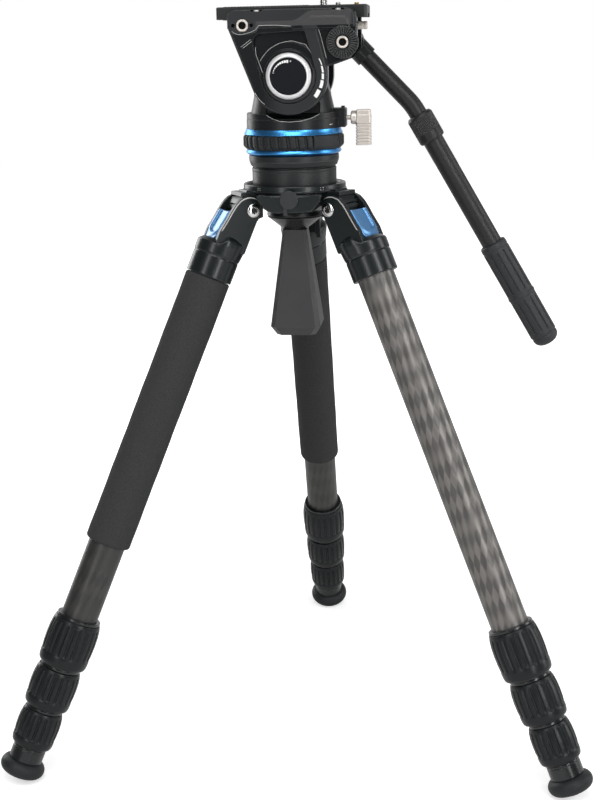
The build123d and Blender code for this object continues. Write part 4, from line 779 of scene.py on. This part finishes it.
def band_rubber():
    """Rubber of the lock ring: slanted ribs with rounded ends all round, and two plain pads.

    A groove is where the cosine of 36 times the angle, advanced along the height, is near one; a pad
    fades the grooves out between two angles.
    """
    profile = resampled([
        (39.6, 49.7), (40.4, 49.7), (41.3, 50.5), (42.6, 51.9), (43.1, 53), (43.1, 56), (43.1, 59.4), (42.7, 60.7),
        (41.8, 61.9), (40.9, 62.25), (39.6, 62.25),
    ], 50)
    ribs, rib_depth, pad_half = 36, 2.1, 18

    def relief(angle, share):
        body, ends = between(share, 0.17, 0.83, 0.07), between(share, 0.10, 0.90, 0.08)
        lean = (share - 0.5) * 1.6
        groove = smooth((np.cos(angle * ribs + lean) - 0.25) / 0.35)
        past = np.degrees(angle) - PAD_AT
        away = np.minimum(abs((past + 180) % 360 - 180), abs(past % 360 - 180))
        plain = smooth((pad_half - away) / 1.2)
        seam = smooth((1 - abs(away - pad_half - 0.8)) / 0.5)
        swell = 0.30 * np.cos(angle * ribs + lean + 2.4)
        return ends * ((1 - plain) * (swell * body - rib_depth * groove) - 0.8 * seam * body) - 0.3 * plain * body

    return skin("lock_ring_rubber", turned(profile, ribs * 20, relief), HEAD, RUBBER, "lock_ring",
                closed=HOOP, sharp=50)


def blue_ring():
    """Blue lock ring: two polished bands, the upper one flaring out over the rubber by a hollow curve."""
    s = np.linspace(0, 1, 14)
    flare = np.stack([40.75 + 1.75 * (1 - s) ** 1.3, 62.6 + 3.9 * s], -1)
    lower = [(34.1, 45.05), (38, 45.05), (38.9, 45.3), (40.2, 46.2), (40.9, 46.9), (41.1, 47.3), (41.05, 47.7),
             (40.7, 48.5), (40.2, 49.5), (39.45, 49.68)]
    upper = [(39.45, 62.27), (42, 62.27), (42.4, 62.4), *flare.tolist(), (40.7, 66.8), (40.35, 66.9), (40.3, 65.8),
             (34.1, 65.8)]
    return skin("blue_ring", turned(lower + upper, 192), HEAD, BLUE, "lock_ring",
                closed=HOOP, sharp=40)


def flange():
    """Head base: flange with a straight wall, a parting groove over the neck, and a sloping skirt."""
    profile = softened([
        (0, 31), (36.3, 31), (36.6, 31.4), (36.6, 33), (36.1, 33.7), (35, 33.9), (35, 34.6), (36.4, 34.8), (37.2, 35.5),
        (37.9, 37.4), (38.4, 38.8), (38.75, 39.6), (38.45, 39.75), (38.45, 40.05), (38.8, 40.2),
        (38.8, 44), (38.3, 44.8), (34, 44.9), (34, 64), (16, 64), (16, 65.9), (10, 65.9), (10, 84), (0, 84),
    ], 0.3, ring=False)
    return skin("head_flange", turned(profile, 160), HEAD, BLACK, "half_ball")


def spider_rim():
    """Turned rim on the spider round the levelling cup: a raised lip with a fine bead under it."""
    profile = softened([
        (41.2, 14.3), (42.2, 14.9), (44.9, 14.9), (45.1, 15.1), (45.1, 15.4), (44.6, 15.7), (44.4, 16.2),
        (44.4, 19.6), (43.9, 20.3), (42.4, 20.3), (41.7, 19.6), (41.2, 17.6),
    ], 0.3)
    return skin("spider_rim", turned(profile, 160), HEAD, CAST, "spider", closed=HOOP, sharp=35)


def slab(outline, low, high, middle, round_off):
    """Grid of a flat plate: an outline in (x, z) between two values of y, its edges quarter rounds.

    A ring on the way in is the outline drawn towards the middle by 1 - sin, as y moves by 1 - cos.
    """
    line = np.asarray(outline, float)
    towards = np.asarray(middle, float) - line
    towards /= np.linalg.norm(towards, axis=1, keepdims=True)
    swing = np.linspace(0, np.pi / 2, 4)
    ways = [(a, low + round_off * (1 - np.cos(a))) for a in swing]
    ways += [(a, high - round_off * (1 - np.cos(a))) for a in swing[::-1]]
    rows = []
    for a, y in ways:
        ring = line + towards * round_off * (1 - np.sin(a))
        rows.append(np.stack([ring[:, 0], np.full(len(ring), y), ring[:, 1]], -1))
    x, z = middle
    return poled(rows, (x, low, z), (x, high, z))


def lug_cover(leg):
    """Lug of the spider: a flat plate over a toothed rack whose arc is centred on the leg's pivot."""
    at = seat((0, 0, HINGE_Z), *about(LEG_AZIMUTH[leg]), (0, 0, 1))
    hinge, rack = np.array([45.9, 0]), 13.1
    angle = np.radians(np.linspace(52, -30, 42))
    r = rack - 1.3 * smooth((np.cos(np.degrees(angle) * TURN / 20) - 0.1) / 0.3)
    arc_line = hinge + np.stack([r * np.cos(angle), r * np.sin(angle)], -1)
    line = [(37.5, 15.2), (54.6, 15.2), (55.1, 14.6), (55.1, 12.2), (54.7, 11.9), *arc_line.tolist(), (50, -9.5),
            (40, -9.5), (37.5, 3)]
    return skin(f"lug_{leg}", slab(line, -12, 12, (45.5, 3), 0.5), at, CAST, "spider", sharp=30)


def port_shield():
    """Front shield of the accessory port: a rounded triangular plate with a lip round the plug."""
    top = [(-27.5, 13.2), (-24, 14.6), (-12, 12.6), (0, 12.2), (12, 12.6), (24, 14.6), (27.5, 13.2)]
    foot = [(25.6, 8), (18.5, 0.4), (10, -1), (-10, -1), (-18.5, 0.4), (-25.6, 8), (-27.5, 13.2)]
    line = resampled(softened(top + foot, 1.6, ring=False), 120)[:-1]
    return skin("port_shield", slab(line, -50.3, -40, (0, 6.5), 1.2), HEAD, CAST, "spider", sharp=40)


def pad_and_cone():
    """Clamp pad of dark rubber, its top along the ball's sphere, and below it the satin cone down to the handle."""
    pad = [(5.3, -10), (8, -9.67), (12, -8.95), (14.5, -8.6), (22.9, -8.6), (23.8, -8.4), (24.45, -7.6),
           (24.5, -6.4), (24.3, -4.9), (24, -4.2), (23.4, -3.9)]
    ball, ball_h = 55.4, 45.3
    top = [(r, ball_h - math.sqrt(ball ** 2 - r * r)) for r in np.linspace(23, 5.3, 12)]
    piece = skin("clamp_pad", turned(pad + top, 128), HEAD, BASE, "half_ball", closed=HOOP)
    s = np.linspace(0, 1, 12)
    side = np.stack([24.2 - 13.4 * s, -9.0 - 10.6 * s ** 1.02], -1)
    cone = [(5.1, -10.3), (8, -9.95), (12, -9.2), (14.5, -8.72), (23.6, -8.7), *side.tolist(), (10.5, -20), (5.1, -20)]
    skin("clamp_cone_shell", turned(cone, 128), HEAD, CONE, "half_ball", closed=HOOP)
    return piece


def pan_rim():
    """Raised rim of the pan base, with its front cut down along the curved sill of the pocket, and a painted highlight
    strip along the sill.
    """
    azimuth = np.arange(240) * 1.5 - 180.0
    at, height = np.array(SILL).T
    foot, crest, wall = 75.4, 80.2, 39.7
    pocket = (azimuth > at[0]) & (azimuth < at[-1])
    top = np.where(pocket, np.minimum(np.interp(azimuth, at, height), crest), crest)
    top = np.maximum(top, foot + 0.2)
    section = ((36.5, 0), (wall, 0), (wall, 0.5), (wall, 0.86), (39.5, 0.96), (39, 1), (36.8, 1), (36.5, 0.9))
    rows = [polar(r, np.radians(azimuth), foot + share * (top - foot)) for r, share in section]
    skin("pan_rim", np.stack(rows), HEAD, BASE, "pan_base", closed=HOOP, sharp=35)
    # a bright strip along the sill, a painted highlight of the pocket's edge
    sill = resampled(SILL, 80)
    a, h = np.radians(sill[:, 0]), sill[:, 1]
    r = np.where(h > foot + 0.4, wall, 40)
    corners = ((-0.4, -0.16), (0.1, -0.16), (0.1, 0.16), (-0.4, 0.16))
    strip = np.stack([polar(r + out, a, h + up) for out, up in corners], 1)
    skin("pan_sill_highlight", strip, HEAD, BARE_METAL_AND_HIGHLIGHT, "pan_base", sharp=30)


def pan_marks():
    """Two small white index marks on the rim of the pan base, beside the lock."""
    for i, (azimuth, h) in enumerate([(-33, 70.2), (-29.4, 70.4)]):
        mark(f"pan_index_{i + 1}", [(-0.9, 0.35), (0.9, 0.1)], [(-0.9, -0.35), (0.9, -0.1)],
             on_wall(azimuth, 40.03, h), WHITE, "pan_base")


def camera_thread():
    """Camera screw: quarter-inch thread with a chamfered tip, relieved neck and a slotted head."""
    at = facing(27.8, 0, 0, UP)
    low = turned([(0, 160.7), (7.9, 160.7), (8, 160.9), (8, 164), (7.8, 164.2), (2.5, 164.2), (2.5, 168.1)], 48)
    tip = turned([(2.9, 172.2), (2.5, 172.55), (1.6, 172.6), (0, 172.6)], 48)
    return skin("camera_screw_thread", np.vstack([low, threaded(3.175, 168.15, 172, 0.5, 48), tip]), at, CHROME,
                "camera_screw", sharp=28)


def plate_pin(name, x, r, proud, material):
    """Locating pin of the plate: a capped stud with a groove under its head."""
    at = facing(x, 0, PLATE_TOP, UP)
    wide, neck = r + 0.04, r - 0.25
    rows = [(wide, -0.6), (wide, proud * 0.35), (neck, proud * 0.42), (neck, proud * 0.52), (wide, proud * 0.6),
            (r + 0.02, proud - 0.35), (r - 0.35, proud + 0.02), (r - 0.9, proud + 0.06), (0, proud + 0.08)]
    skin(name, turned(rows, 48), at, material, "plate", sharp=30)


def plate_pad(name, x0, x1, y0, y1):
    """Rubber pad on the plate: a thin slab with rounded corners and cross ribs.

    Height is 0.30 mm plus 0.18 mm times a flattened cosine of the distance along, sinking in 0.5 mm at the rim.
    """
    n, m, r, pitch, plain, rib_high = 150, 14, 3, 2.6, 0.30, 0.18
    u, v = np.meshgrid(np.linspace(x0, x1, n), np.linspace(y0, y1, m), indexing="ij")
    end = np.clip(r - np.minimum(u - x0, x1 - u), 0, r)
    inset = r - np.sqrt(np.maximum(r * r - end * end, 0))
    mid, half = (y0 + y1) / 2, (y1 - y0) / 2
    v = mid + (v - mid) * (half - inset) / half
    rim = np.minimum(np.minimum(u - x0, x1 - u), half - inset - abs(v - mid))
    rib = smooth(0.5 + 1.6 * np.cos(TURN * (u - x0) / pitch))
    z = (plain + rib_high * rib * smooth((rim - 1) / 0.4)) * smooth(rim / 0.5 + 0.02) - 0.05
    at = facing(0, 0, PLATE_TOP, UP)
    skin(name, np.stack([u, v, z], -1), at, RUBBER, "plate", closed=(False, False), sharp=50)


def release_button():
    """Release button: a stem and a domed cap with a ring groove."""
    at = facing(57.2, -12, 150.8, RIGHT)
    rows = [(0, -19.2), (2, -19.2), (2, 0), (3.1, 0), (3.3, 0.2), (3.3, 4.4), (3.05, 4.6), (3.05, 5), (3.3, 5.2),
            (3.3, 7.4), (3, 7.9), (2.3, 8.15), (0, 8.2)]
    return skin("release_button_cap", turned(rows, 64), at, SILVER, "release_button", sharp=30)


# ---- shoulder pieces ----
def thumb_tab(leg):
    """Angle stop: blue thumb piece with a raised U-shaped rim round a dished face, on two steel pins.

    The face is a line from 8.4 to 13.6 mm out, rounded at both ends. The dish sinks 1.9 mm inside a U whose
    arms are 9.3 mm from the middle and whose foot is a half ellipse; below it the rim widens and slopes.
    The top is closed on its middle and the lower end is open.
    """
    rows, cols = 72, 60
    top, end = TAB_SPAN
    wide, inner, lean, depth, arm, foot_long = 11.9, 8.4, 5.2, 1.9, 9.3, 7.2
    t = top + (1 - np.cos(np.linspace(0, np.pi, rows))) / 2 * (end - top)
    u = np.sin(np.linspace(-np.pi / 2, np.pi / 2, cols))
    half = wide - 3 * smooth((t - end + 7) / 7) ** 2
    y = u[None, :] * half[:, None]
    base = inner + (t - top) / (end - top) * lean - rounding(t - top, 1.2) - rounding(end - t, 3)
    reach = np.hypot(y / arm, np.maximum(t - end + 13, 0)[:, None] / foot_long)
    dish = smooth((1 - reach) / 0.26) * smooth((t - top + 1.5) / 1.5)[:, None]
    slope = 1.1 * smooth((reach - 1.05) / 0.6) * smooth((t - end + 12) / 5)[:, None]
    face = base[:, None] - depth * dish - slope - rounding(half[:, None] - abs(y), 1.5)
    height = np.repeat(-t[:, None], cols, 1)
    front, back = np.stack([face, y, height], -1), np.stack([np.full_like(y, 2.75), y[:, ::-1], height], -1)
    piece = skin(f"thumb_tab_{leg}", capped(np.concatenate([front, back], 1))[:-1], LEG_SEAT[leg], TAB_BLUE,
                 f"angle_stop_{leg}", sharp=50)
    out, side, up, middle = LEG_SEAT[leg][:3].T
    pin_in = 7.3
    for i, down_by in enumerate((17.5, 24.5)):
        at = seat(middle - out * pin_in - up * down_by, side / MM, up / MM, out / MM)
        skin(f"tab_pin_{i + 1}_{leg}", turned([(0, 0), (1.7, 0), (2, 0.3), (2, 10.5), (0, 10.5)], 32), at, CHROME,
             f"angle_stop_{leg}")
    return piece


def collar(leg):
    """Shoulder's collar: two glossy bands with a waist between them, rising at the sides to meet the ears.

    Away from the outward side, by a smooth step of the angle's cosine, the top edge lifts 6 mm and flares
    out by 1 mm.
    """
    profile = softened([
        (0, 33.6), (16.4, 34), (19.3, 36.6), (20, 37.2), (20.2, 37.9), (20.25, 39.5), (20.2, 45.4), (19.9, 46.4),
        (19.4, 47.1), (19.7, 47.8), (19.9, 48.3), (19.9, 50), (19.9, 65.2), (19.5, 66), (16.1, 66),
    ], 0.25, ring=False)
    segments, lift, flare = 144, 6, 1
    grid = turned(profile, segments)
    side = smooth((0.52 - np.cos(turn(segments))) / 0.45)[None, :]
    t, r = grid[:, :, 2], np.hypot(grid[:, :, 0], grid[:, :, 1])
    wider = 1 + flare * side * smooth((46 - t) / 6) * smooth((r - 15) / 3) / np.maximum(r, 1)
    grid[:, :, 2] = -(t - lift * side * smooth((44 - t) / 8))
    grid[:, :, :2] *= wider[:, :, None]
    return skin(f"collar_{leg}", grid, LEG_SEAT[leg], CAST, f"leg_{leg}", sharp=40)


def ears(leg):
    """The shoulder's two ears and the saddle block between them, as plates with rounded edges."""
    line = resampled(softened(EAR_EDGE, 1.6), 150)
    for side in (-1, 1):
        low, high = sorted((side * EAR_IN, side * EAR_OUT))
        skin(f"ear_{leg}_{hand(side)}", slab(line, low, high, (-4, -16), 0.7), LEG_SEAT[leg], CAST, f"leg_{leg}",
             sharp=40)
    block = softened([(-16.6, -38), (-15.5, -14.6), (2.2, -14.6), (2.2, -38)], 0.6)
    skin(f"saddle_{leg}", slab(block, -EAR_IN - 0.3, EAR_IN + 0.3, (-7, -26), 0.2), LEG_SEAT[leg], CAST, f"leg_{leg}")


def ear_strip(leg, side):
    """Serrated arris of an ear, painted bright as a highlight: a narrow band on its outer edge, its teeth a triangle
    wave along it.
    """
    path = softened(EAR_EDGE, 1.6)
    path = path[(path[:, 1] > -27) & ((path[:, 0] > -11) & (path[:, 1] > -2) | (path[:, 0] > 0))]
    run = along(path)
    s = np.linspace(0, run[-1], 420)
    x, z = np.interp(s, run, path[:, 0]), np.interp(s, run, path[:, 1])
    d = np.stack([np.gradient(x), np.gradient(z)], -1)
    d /= np.linalg.norm(d, axis=1, keepdims=True)
    inward = np.stack([d[:, 1], -d[:, 0]], -1)
    pitch, tooth_high, inset_by = 0.9, 0.16, 0.55
    tooth = tooth_high * abs((s / pitch) % 1.0 - 0.5) * 2 * smooth((s - 0.35 * run[-1]) / 4)
    wide = 0.95 * between(s, 0, run[-1], 6, 1.5) + 0.05
    near, far, low, high = inset_by + 0 * s, inset_by + wide, -0.3 + 0 * s, 0.10 + tooth
    rows = []
    for inset, lift in ((near, low), (near, high), (far, high), (far, low)):
        p = np.stack([x, z], -1) + inward * inset[:, None]
        rows.append(np.stack([p[:, 0], side * (EAR_OUT + lift), p[:, 1]], -1))
    skin(f"ear_edge_{leg}_{hand(side)}", np.stack(rows, 1), LEG_SEAT[leg], BARE_METAL_AND_HIGHLIGHT, f"leg_{leg}", sharp=20)


def rim_glint_studs():
    """Small bright studs in pairs on the spider's rim, either side of the port, standing in for small glints there:
    painted highlights.
    """
    for k, azimuth in enumerate((-128.5, -125.5, -54.5, -51.5)):
        for i, h in enumerate((17, 18.6)):
            skin(f"rim_glint_stud_{k + 1}_{i + 1}", turned([(0.42, -0.5), (0.42, 0.15), (0.25, 0.3), (0, 0.32)], 16),
                 on_wall(azimuth, 44.3, h), BARE_METAL_AND_HIGHLIGHT, "spider")


# ---- pan handle pieces ----
def twist_lock():
    """Knurled twist lock of the handle: fine flutes between two plain bands, with a chamfered mouth."""
    profile = resampled([
        (8.1, 9.5), (9.6, 9.5), (10.3, 9.8), (11.3, 11.2), (11.8, 12.2), (11.8, 13.6), (11.8, 32), (11.8, 33.4),
        (11.3, 34.8), (10.3, 35.5), (9.5, 35.5), (9.5, 21.7), (8.1, 21.7),
    ], 150)
    flutes = 52

    def relief(angle, share):
        return -0.42 * between(share, 0.12, 0.445, 0.01) * smooth(0.5 + 0.9 * np.cos(angle * flutes))

    return skin("handle_twist_lock", turned(profile, flutes * 8, relief), HANDLE, TUBE_BLACK, "handle_twist",
                closed=HOOP, sharp=50)


def hand_grip():
    """Rubber hand grip: a rounded rim, two zones of narrow straight flutes parted by a step, and an end cap."""
    r = 12.3
    s = np.linspace(0, 1, 12)
    cap = np.stack([(r - 0.5) * np.cos(s * np.pi / 2) ** 0.75, 239.5 + 8.0 * np.sin(s * np.pi / 2)], -1)
    wall = [(9.3, 142), (10.8, 142), (11.6, 142.5), (12.1, 143.6), (r, 145.5), (r, 147.4), (r - 0.4, 148),
            (r - 0.4, 148.6), (r, 149.2), (r, 193), (r + 0.1, 194.2), (r + 0.5, 194.8), (r + 0.5, 196.8),
            (r + 0.1, 197.4), (r, 198.6), (r, 233), (r, 236.8), (r - 0.9, 237.4), (r - 0.9, 238.2), (r - 0.5, 238.8)]
    full = np.vstack([resampled(wall + cap.tolist(), 190), [(0, 243.2), (9.3, 243.2)]])
    flutes, h = 12, full[:, 1:]

    def relief(angle, share):
        zones = between(h, 149.5, 192.5, 2.5) + between(h, 199, 234, 2.5)
        outside = (full[:, :1] > r - 0.05) & (h > 149)
        flute = smooth((np.cos(angle * flutes) - 0.72) / 0.16)
        return np.where(outside, -zones * flute, 0)

    return skin("hand_grip", turned(full, flutes * 24, relief), HANDLE, GRIP, "handle_extension",
                closed=HOOP, sharp=60)


def pan_lever():
    """Pan lock: shaft, stepped collar, and a flat lever with rounded corners and seven ribs across its lower part.

    A level of the lever is a rectangle with round corners, drawn in at the grooves and at both ends.
    """
    axis = facing(0, 0, LOCK_AXIS, RIGHT)
    shaft = [(0, 31), (1.9, 31), (1.9, 49.6), (4.6, 49.6), (5.5, 50.2), (5.8, 50.9), (5.8, 53.6), (5.4, 54.3),
             (0, 54.3)]
    skin("pan_lock_shaft", turned(shaft, 64), axis, SILVER, "pan_lock", sharp=30)
    low, high, corner, half_x, half_y, mid, pitch = 51.4, 81.2, 1.8, 6.5, 6.3, 60.5, 2.6
    h = np.concatenate([[low, low + 0.15, low + 0.5, low + 1], np.arange(low + 1.4, 70.2, 0.2),
                        np.linspace(70.6, 76.4, 6), [76.7, 77, 79.8, 80.5, 80.95, high]])
    ribbed = between(h, low + 1, 70, 0.4, 0.6)
    groove = smooth((np.cos((h - low) / pitch * TURN) - 0.35) / 0.3) * ribbed
    inset = 0.75 * groove + rounding(h - low, 0.6) + rounding(high - h, 0.8) + 0.35 * smooth((h - 76.5) / 0.6)
    quarter = np.linspace(0, np.pi / 2, 8)
    rows = []
    for level, drawn in zip(h, inset):
        ring = []
        for k, (sx, sy) in enumerate(((1, 1), (-1, 1), (-1, -1), (1, -1))):
            a = quarter + k * np.pi / 2
            ring.append(np.stack([mid + sx * (half_x - drawn - corner) + corner * np.cos(a),
                                  sy * (half_y - drawn - corner) + corner * np.sin(a), np.full(8, level)], -1))
        rows.append(np.concatenate(ring))
    return skin("pan_lever", poled(rows, (mid, 0, low), (mid, 0, high)), HEAD, SILVER, "pan_lock", sharp=30)


def clamp_knob():
    """Clamp bolt with a six-lobed knob and a plain boss."""
    at = facing(ROSETTE[0], 57.9, ROSETTE[1], BACK)
    angle = turn(144)
    lobe = 9.3 + 1.2 * np.cos(6 * angle)
    rows = [
        (0, -26), (3.1, -26), (3.1, 0), (6, 0), (6.4, 0.5), (lobe * 0.92, 1.2), (lobe, 2.2), (lobe, 10),
        (lobe * 0.96, 11.2), (lobe * 0.86, 11.9), (4.4, 12), (4, 11.6), (0, 11.5),
    ]
    return skin("clamp_knob", lobed(rows, angle), at, PLASTIC, "handle_knob", sharp=45)


# ---- build: head, shoulders and handle ----
HANDLE = handle_seat()
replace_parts(dial(), "friction_dial")
tilt_scale()
insert("port_insert", PORT, -39.3)
insert("rosette_insert", ROSETTE, -40)
rosette_teeth()
insert("rear_port_insert", PORT, 38.45, BACK)
for i, x in enumerate((-24.7, 42.6)):
    edge_screw(f"edge_screw_{i + 1}", x)
engraved_lines()
edge_lines()
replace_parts(band_rubber(), "lock_ring_grip")
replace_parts(blue_ring(), "lock_ring")
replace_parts(flange(), "base_flange")
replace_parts(pad_and_cone(), "clamp_cone")
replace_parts(pan_lever(), "pan_lock_lever")
pan_rim()
spider_rim()
port_shield()
for leg in LEGS:
    lug_cover(leg)
pan_marks()
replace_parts(camera_thread(), "camera_screw")
plate_pin("plate_pin", 40, 2.1, 2.5, CHROME)
plate_pin("plate_stop", 55.6, 2, 2, BRASS)
for side in (-1, 1):
    low, high = sorted((side * 11.8, side * 22.6))
    plate_pad(f"plate_pad_{'left' if side < 0 else 'right'}", -55, 18, low, high)
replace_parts(release_button(), "plate_release_button")
for leg in LEGS:
    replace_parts(thumb_tab(leg), f"angle_tab_{leg}")
    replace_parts(collar(leg), f"shoulder_{leg}")
    ears(leg)
    for side in (-1, 1):
        ear_strip(leg, side)
rim_glint_studs()
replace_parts(twist_lock(), "handle_collar")
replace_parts(hand_grip(), "handle_grip")
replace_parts(clamp_knob(), "handle_clamp_knob")

# ---- finishes of the carried-over solids ----
CARRIED = {
    "spider": CAST, "foot": RUBBER, "port_plug": GRIP, "bowl_liner": PLASTIC,
    "half_ball": BLACK, "levelling_handle": PLASTIC, "pan_base": BASE, "front_cheek": CHEEK,
    "rear_cheek": CHEEK, "tilt_axle": SILVER, "thread_inserts": SILVER, "tilt_lock_lever": BLACK, "plate_bed": BLACK,
    "quick_release_plate": BLACK, "handle_clamp": BLACK, "handle_upper_tube": TUBE_BLACK,
    "handle_lower_tube": TUBE_BLACK,
}
for name, node in NODES.items():
    stem = next((s for s in (name, name.rsplit("_", 1)[0]) if s in CARRIED), None)
    if stem:
        node.data.materials.clear()
        node.data.materials.append(CARRIED[stem])


# ---- studio ----
ROOM, BACKDROP, AMBIENT = 0.10, 0.75, 0.34    # world as seen by gloss in front and behind, and by the rest
FLOOR_HALF = 6.0
AIM = (0, 0, 0.42)
SOFTBOXES = {                                 # place, size and power of each
    "key": ((-0.66, -1.56, 0.95), (0.35, 1.5), 8), "fill": ((0.98, -1.39, 0.9), (0.35, 1.5), 13),
    "right_edge": ((1.9, 0.1, 0.9), (0.6, 1.5), 12), "left_edge": ((-1.5, 1.2, 0.85), (0.8, 1.6), 14),
    "front_top": ((0.08, -1.35, 1.95), (1, 0.45), 11), "top": ((0, -0.4, 2.2), (1.2, 0.6), 6),
}


def softbox(name, place, size, power):
    """Rectangular lamp at place, turned to look at the middle of the tripod."""
    lamp = bpy.data.lights.new(name, "AREA")
    lamp.shape, lamp.size, lamp.size_y, lamp.energy = "RECTANGLE", *size, power
    holder = bpy.data.objects.new(name, lamp)
    towards = Matrix.Identity(3)
    z = unit(np.array(place) - np.array(AIM))
    x = unit(np.cross([0, 0, 1], z))
    towards.col[0], towards.col[1], towards.col[2] = x, np.cross(z, x), z
    holder.matrix_world = Matrix.Translation(place) @ towards.to_4x4()
    bpy.context.scene.collection.objects.link(holder)


def studio():
    """White backdrop behind a dim room, a pale floor that keeps the shadow, and softboxes round the camera.

    The world is white to camera and transmission rays. Glossy rays see the backdrop's white behind the
    object and the dim room in front, by a smooth step of the direction's y; other rays see an even grey.
    To the camera the floor glows, half near the feet and fully further out, so that it has no far edge.
    """
    world = bpy.data.worlds.new("studio")
    bpy.context.scene.world = world
    t = Tree(world)
    back, ray = t.nodes["Background"], t.add("ShaderNodeLightPath").outputs
    seen = t.maths("MAXIMUM", ray["Is Camera Ray"], ray["Is Transmission Ray"])
    way = t.add("ShaderNodeSeparateXYZ", {"Vector": t.add("ShaderNodeTexCoord").outputs["Generated"]})
    room = t.span(way.outputs["Y"], 0.45, 0.75, ROOM, BACKDROP, "SMOOTHSTEP")
    gloss = t.mix(ray["Is Glossy Ray"], AMBIENT, room, "FLOAT")
    t.link(t.mix(seen, gloss, 1, "FLOAT"), back.inputs["Strength"])
    back.inputs["Color"].default_value = (1, 1, 1, 1)

    floor = bpy.data.meshes.new("floor")
    corners = [(x * FLOOR_HALF, y * FLOOR_HALF, 0) for x, y in ((-1, -1), (1, -1), (1, 1), (-1, 1))]
    floor.from_pydata(corners, [], [(0, 1, 2, 3)])
    sweep = bpy.data.materials.new("pale_floor")
    t = Tree(sweep)
    paper = t.nodes["Principled BSDF"]
    paper.inputs["Base Color"].default_value = (0.80, 0.80, 0.80, 1)
    paper.inputs["Roughness"].default_value = 0.9
    paper.inputs["Emission Color"].default_value = (1, 1, 1, 1)
    place = t.add("ShaderNodeTexCoord").outputs["Object"]
    reach = t.add("ShaderNodeVectorMath", {0: place}, operation="LENGTH").outputs["Value"]
    far = t.span(reach, 0.3, 1.1, 0.50, 1, "SMOOTHSTEP")
    glow = t.maths("MULTIPLY", t.add("ShaderNodeLightPath").outputs["Is Camera Ray"], far)
    t.link(glow, paper.inputs["Emission Strength"])
    floor.materials.append(sweep)
    ground = bpy.data.objects.new("floor", floor)
    bpy.context.scene.collection.objects.link(ground)

    for name, (place, size, power) in SOFTBOXES.items():
        softbox(name, place, size, power)


def camera():
    """Camera level with the head, a little to the right, looking down at the feet."""
    lens = bpy.data.cameras.new("camera")
    lens.lens, lens.sensor_width = 63.26, 36.0
    lens.shift_x, lens.shift_y = -0.0028, -0.0203
    eye = bpy.data.objects.new("camera", lens)
    swing, drop, roll = math.radians(6.06), math.radians(13.75), math.radians(-1.28)
    eye.matrix_world = (
        Matrix.Translation((0.1296, -1.2203, HINGE_Z + 0.1401)) @ Matrix.Rotation(swing, 4, "Z")
        @ Matrix.Rotation(math.pi / 2 - drop, 4, "X") @ Matrix.Rotation(roll, 4, "Z")
    )
    bpy.context.scene.collection.objects.link(eye)
    bpy.context.scene.camera = eye


studio()
camera()
bpy.context.scene.view_settings.view_transform = "Standard"
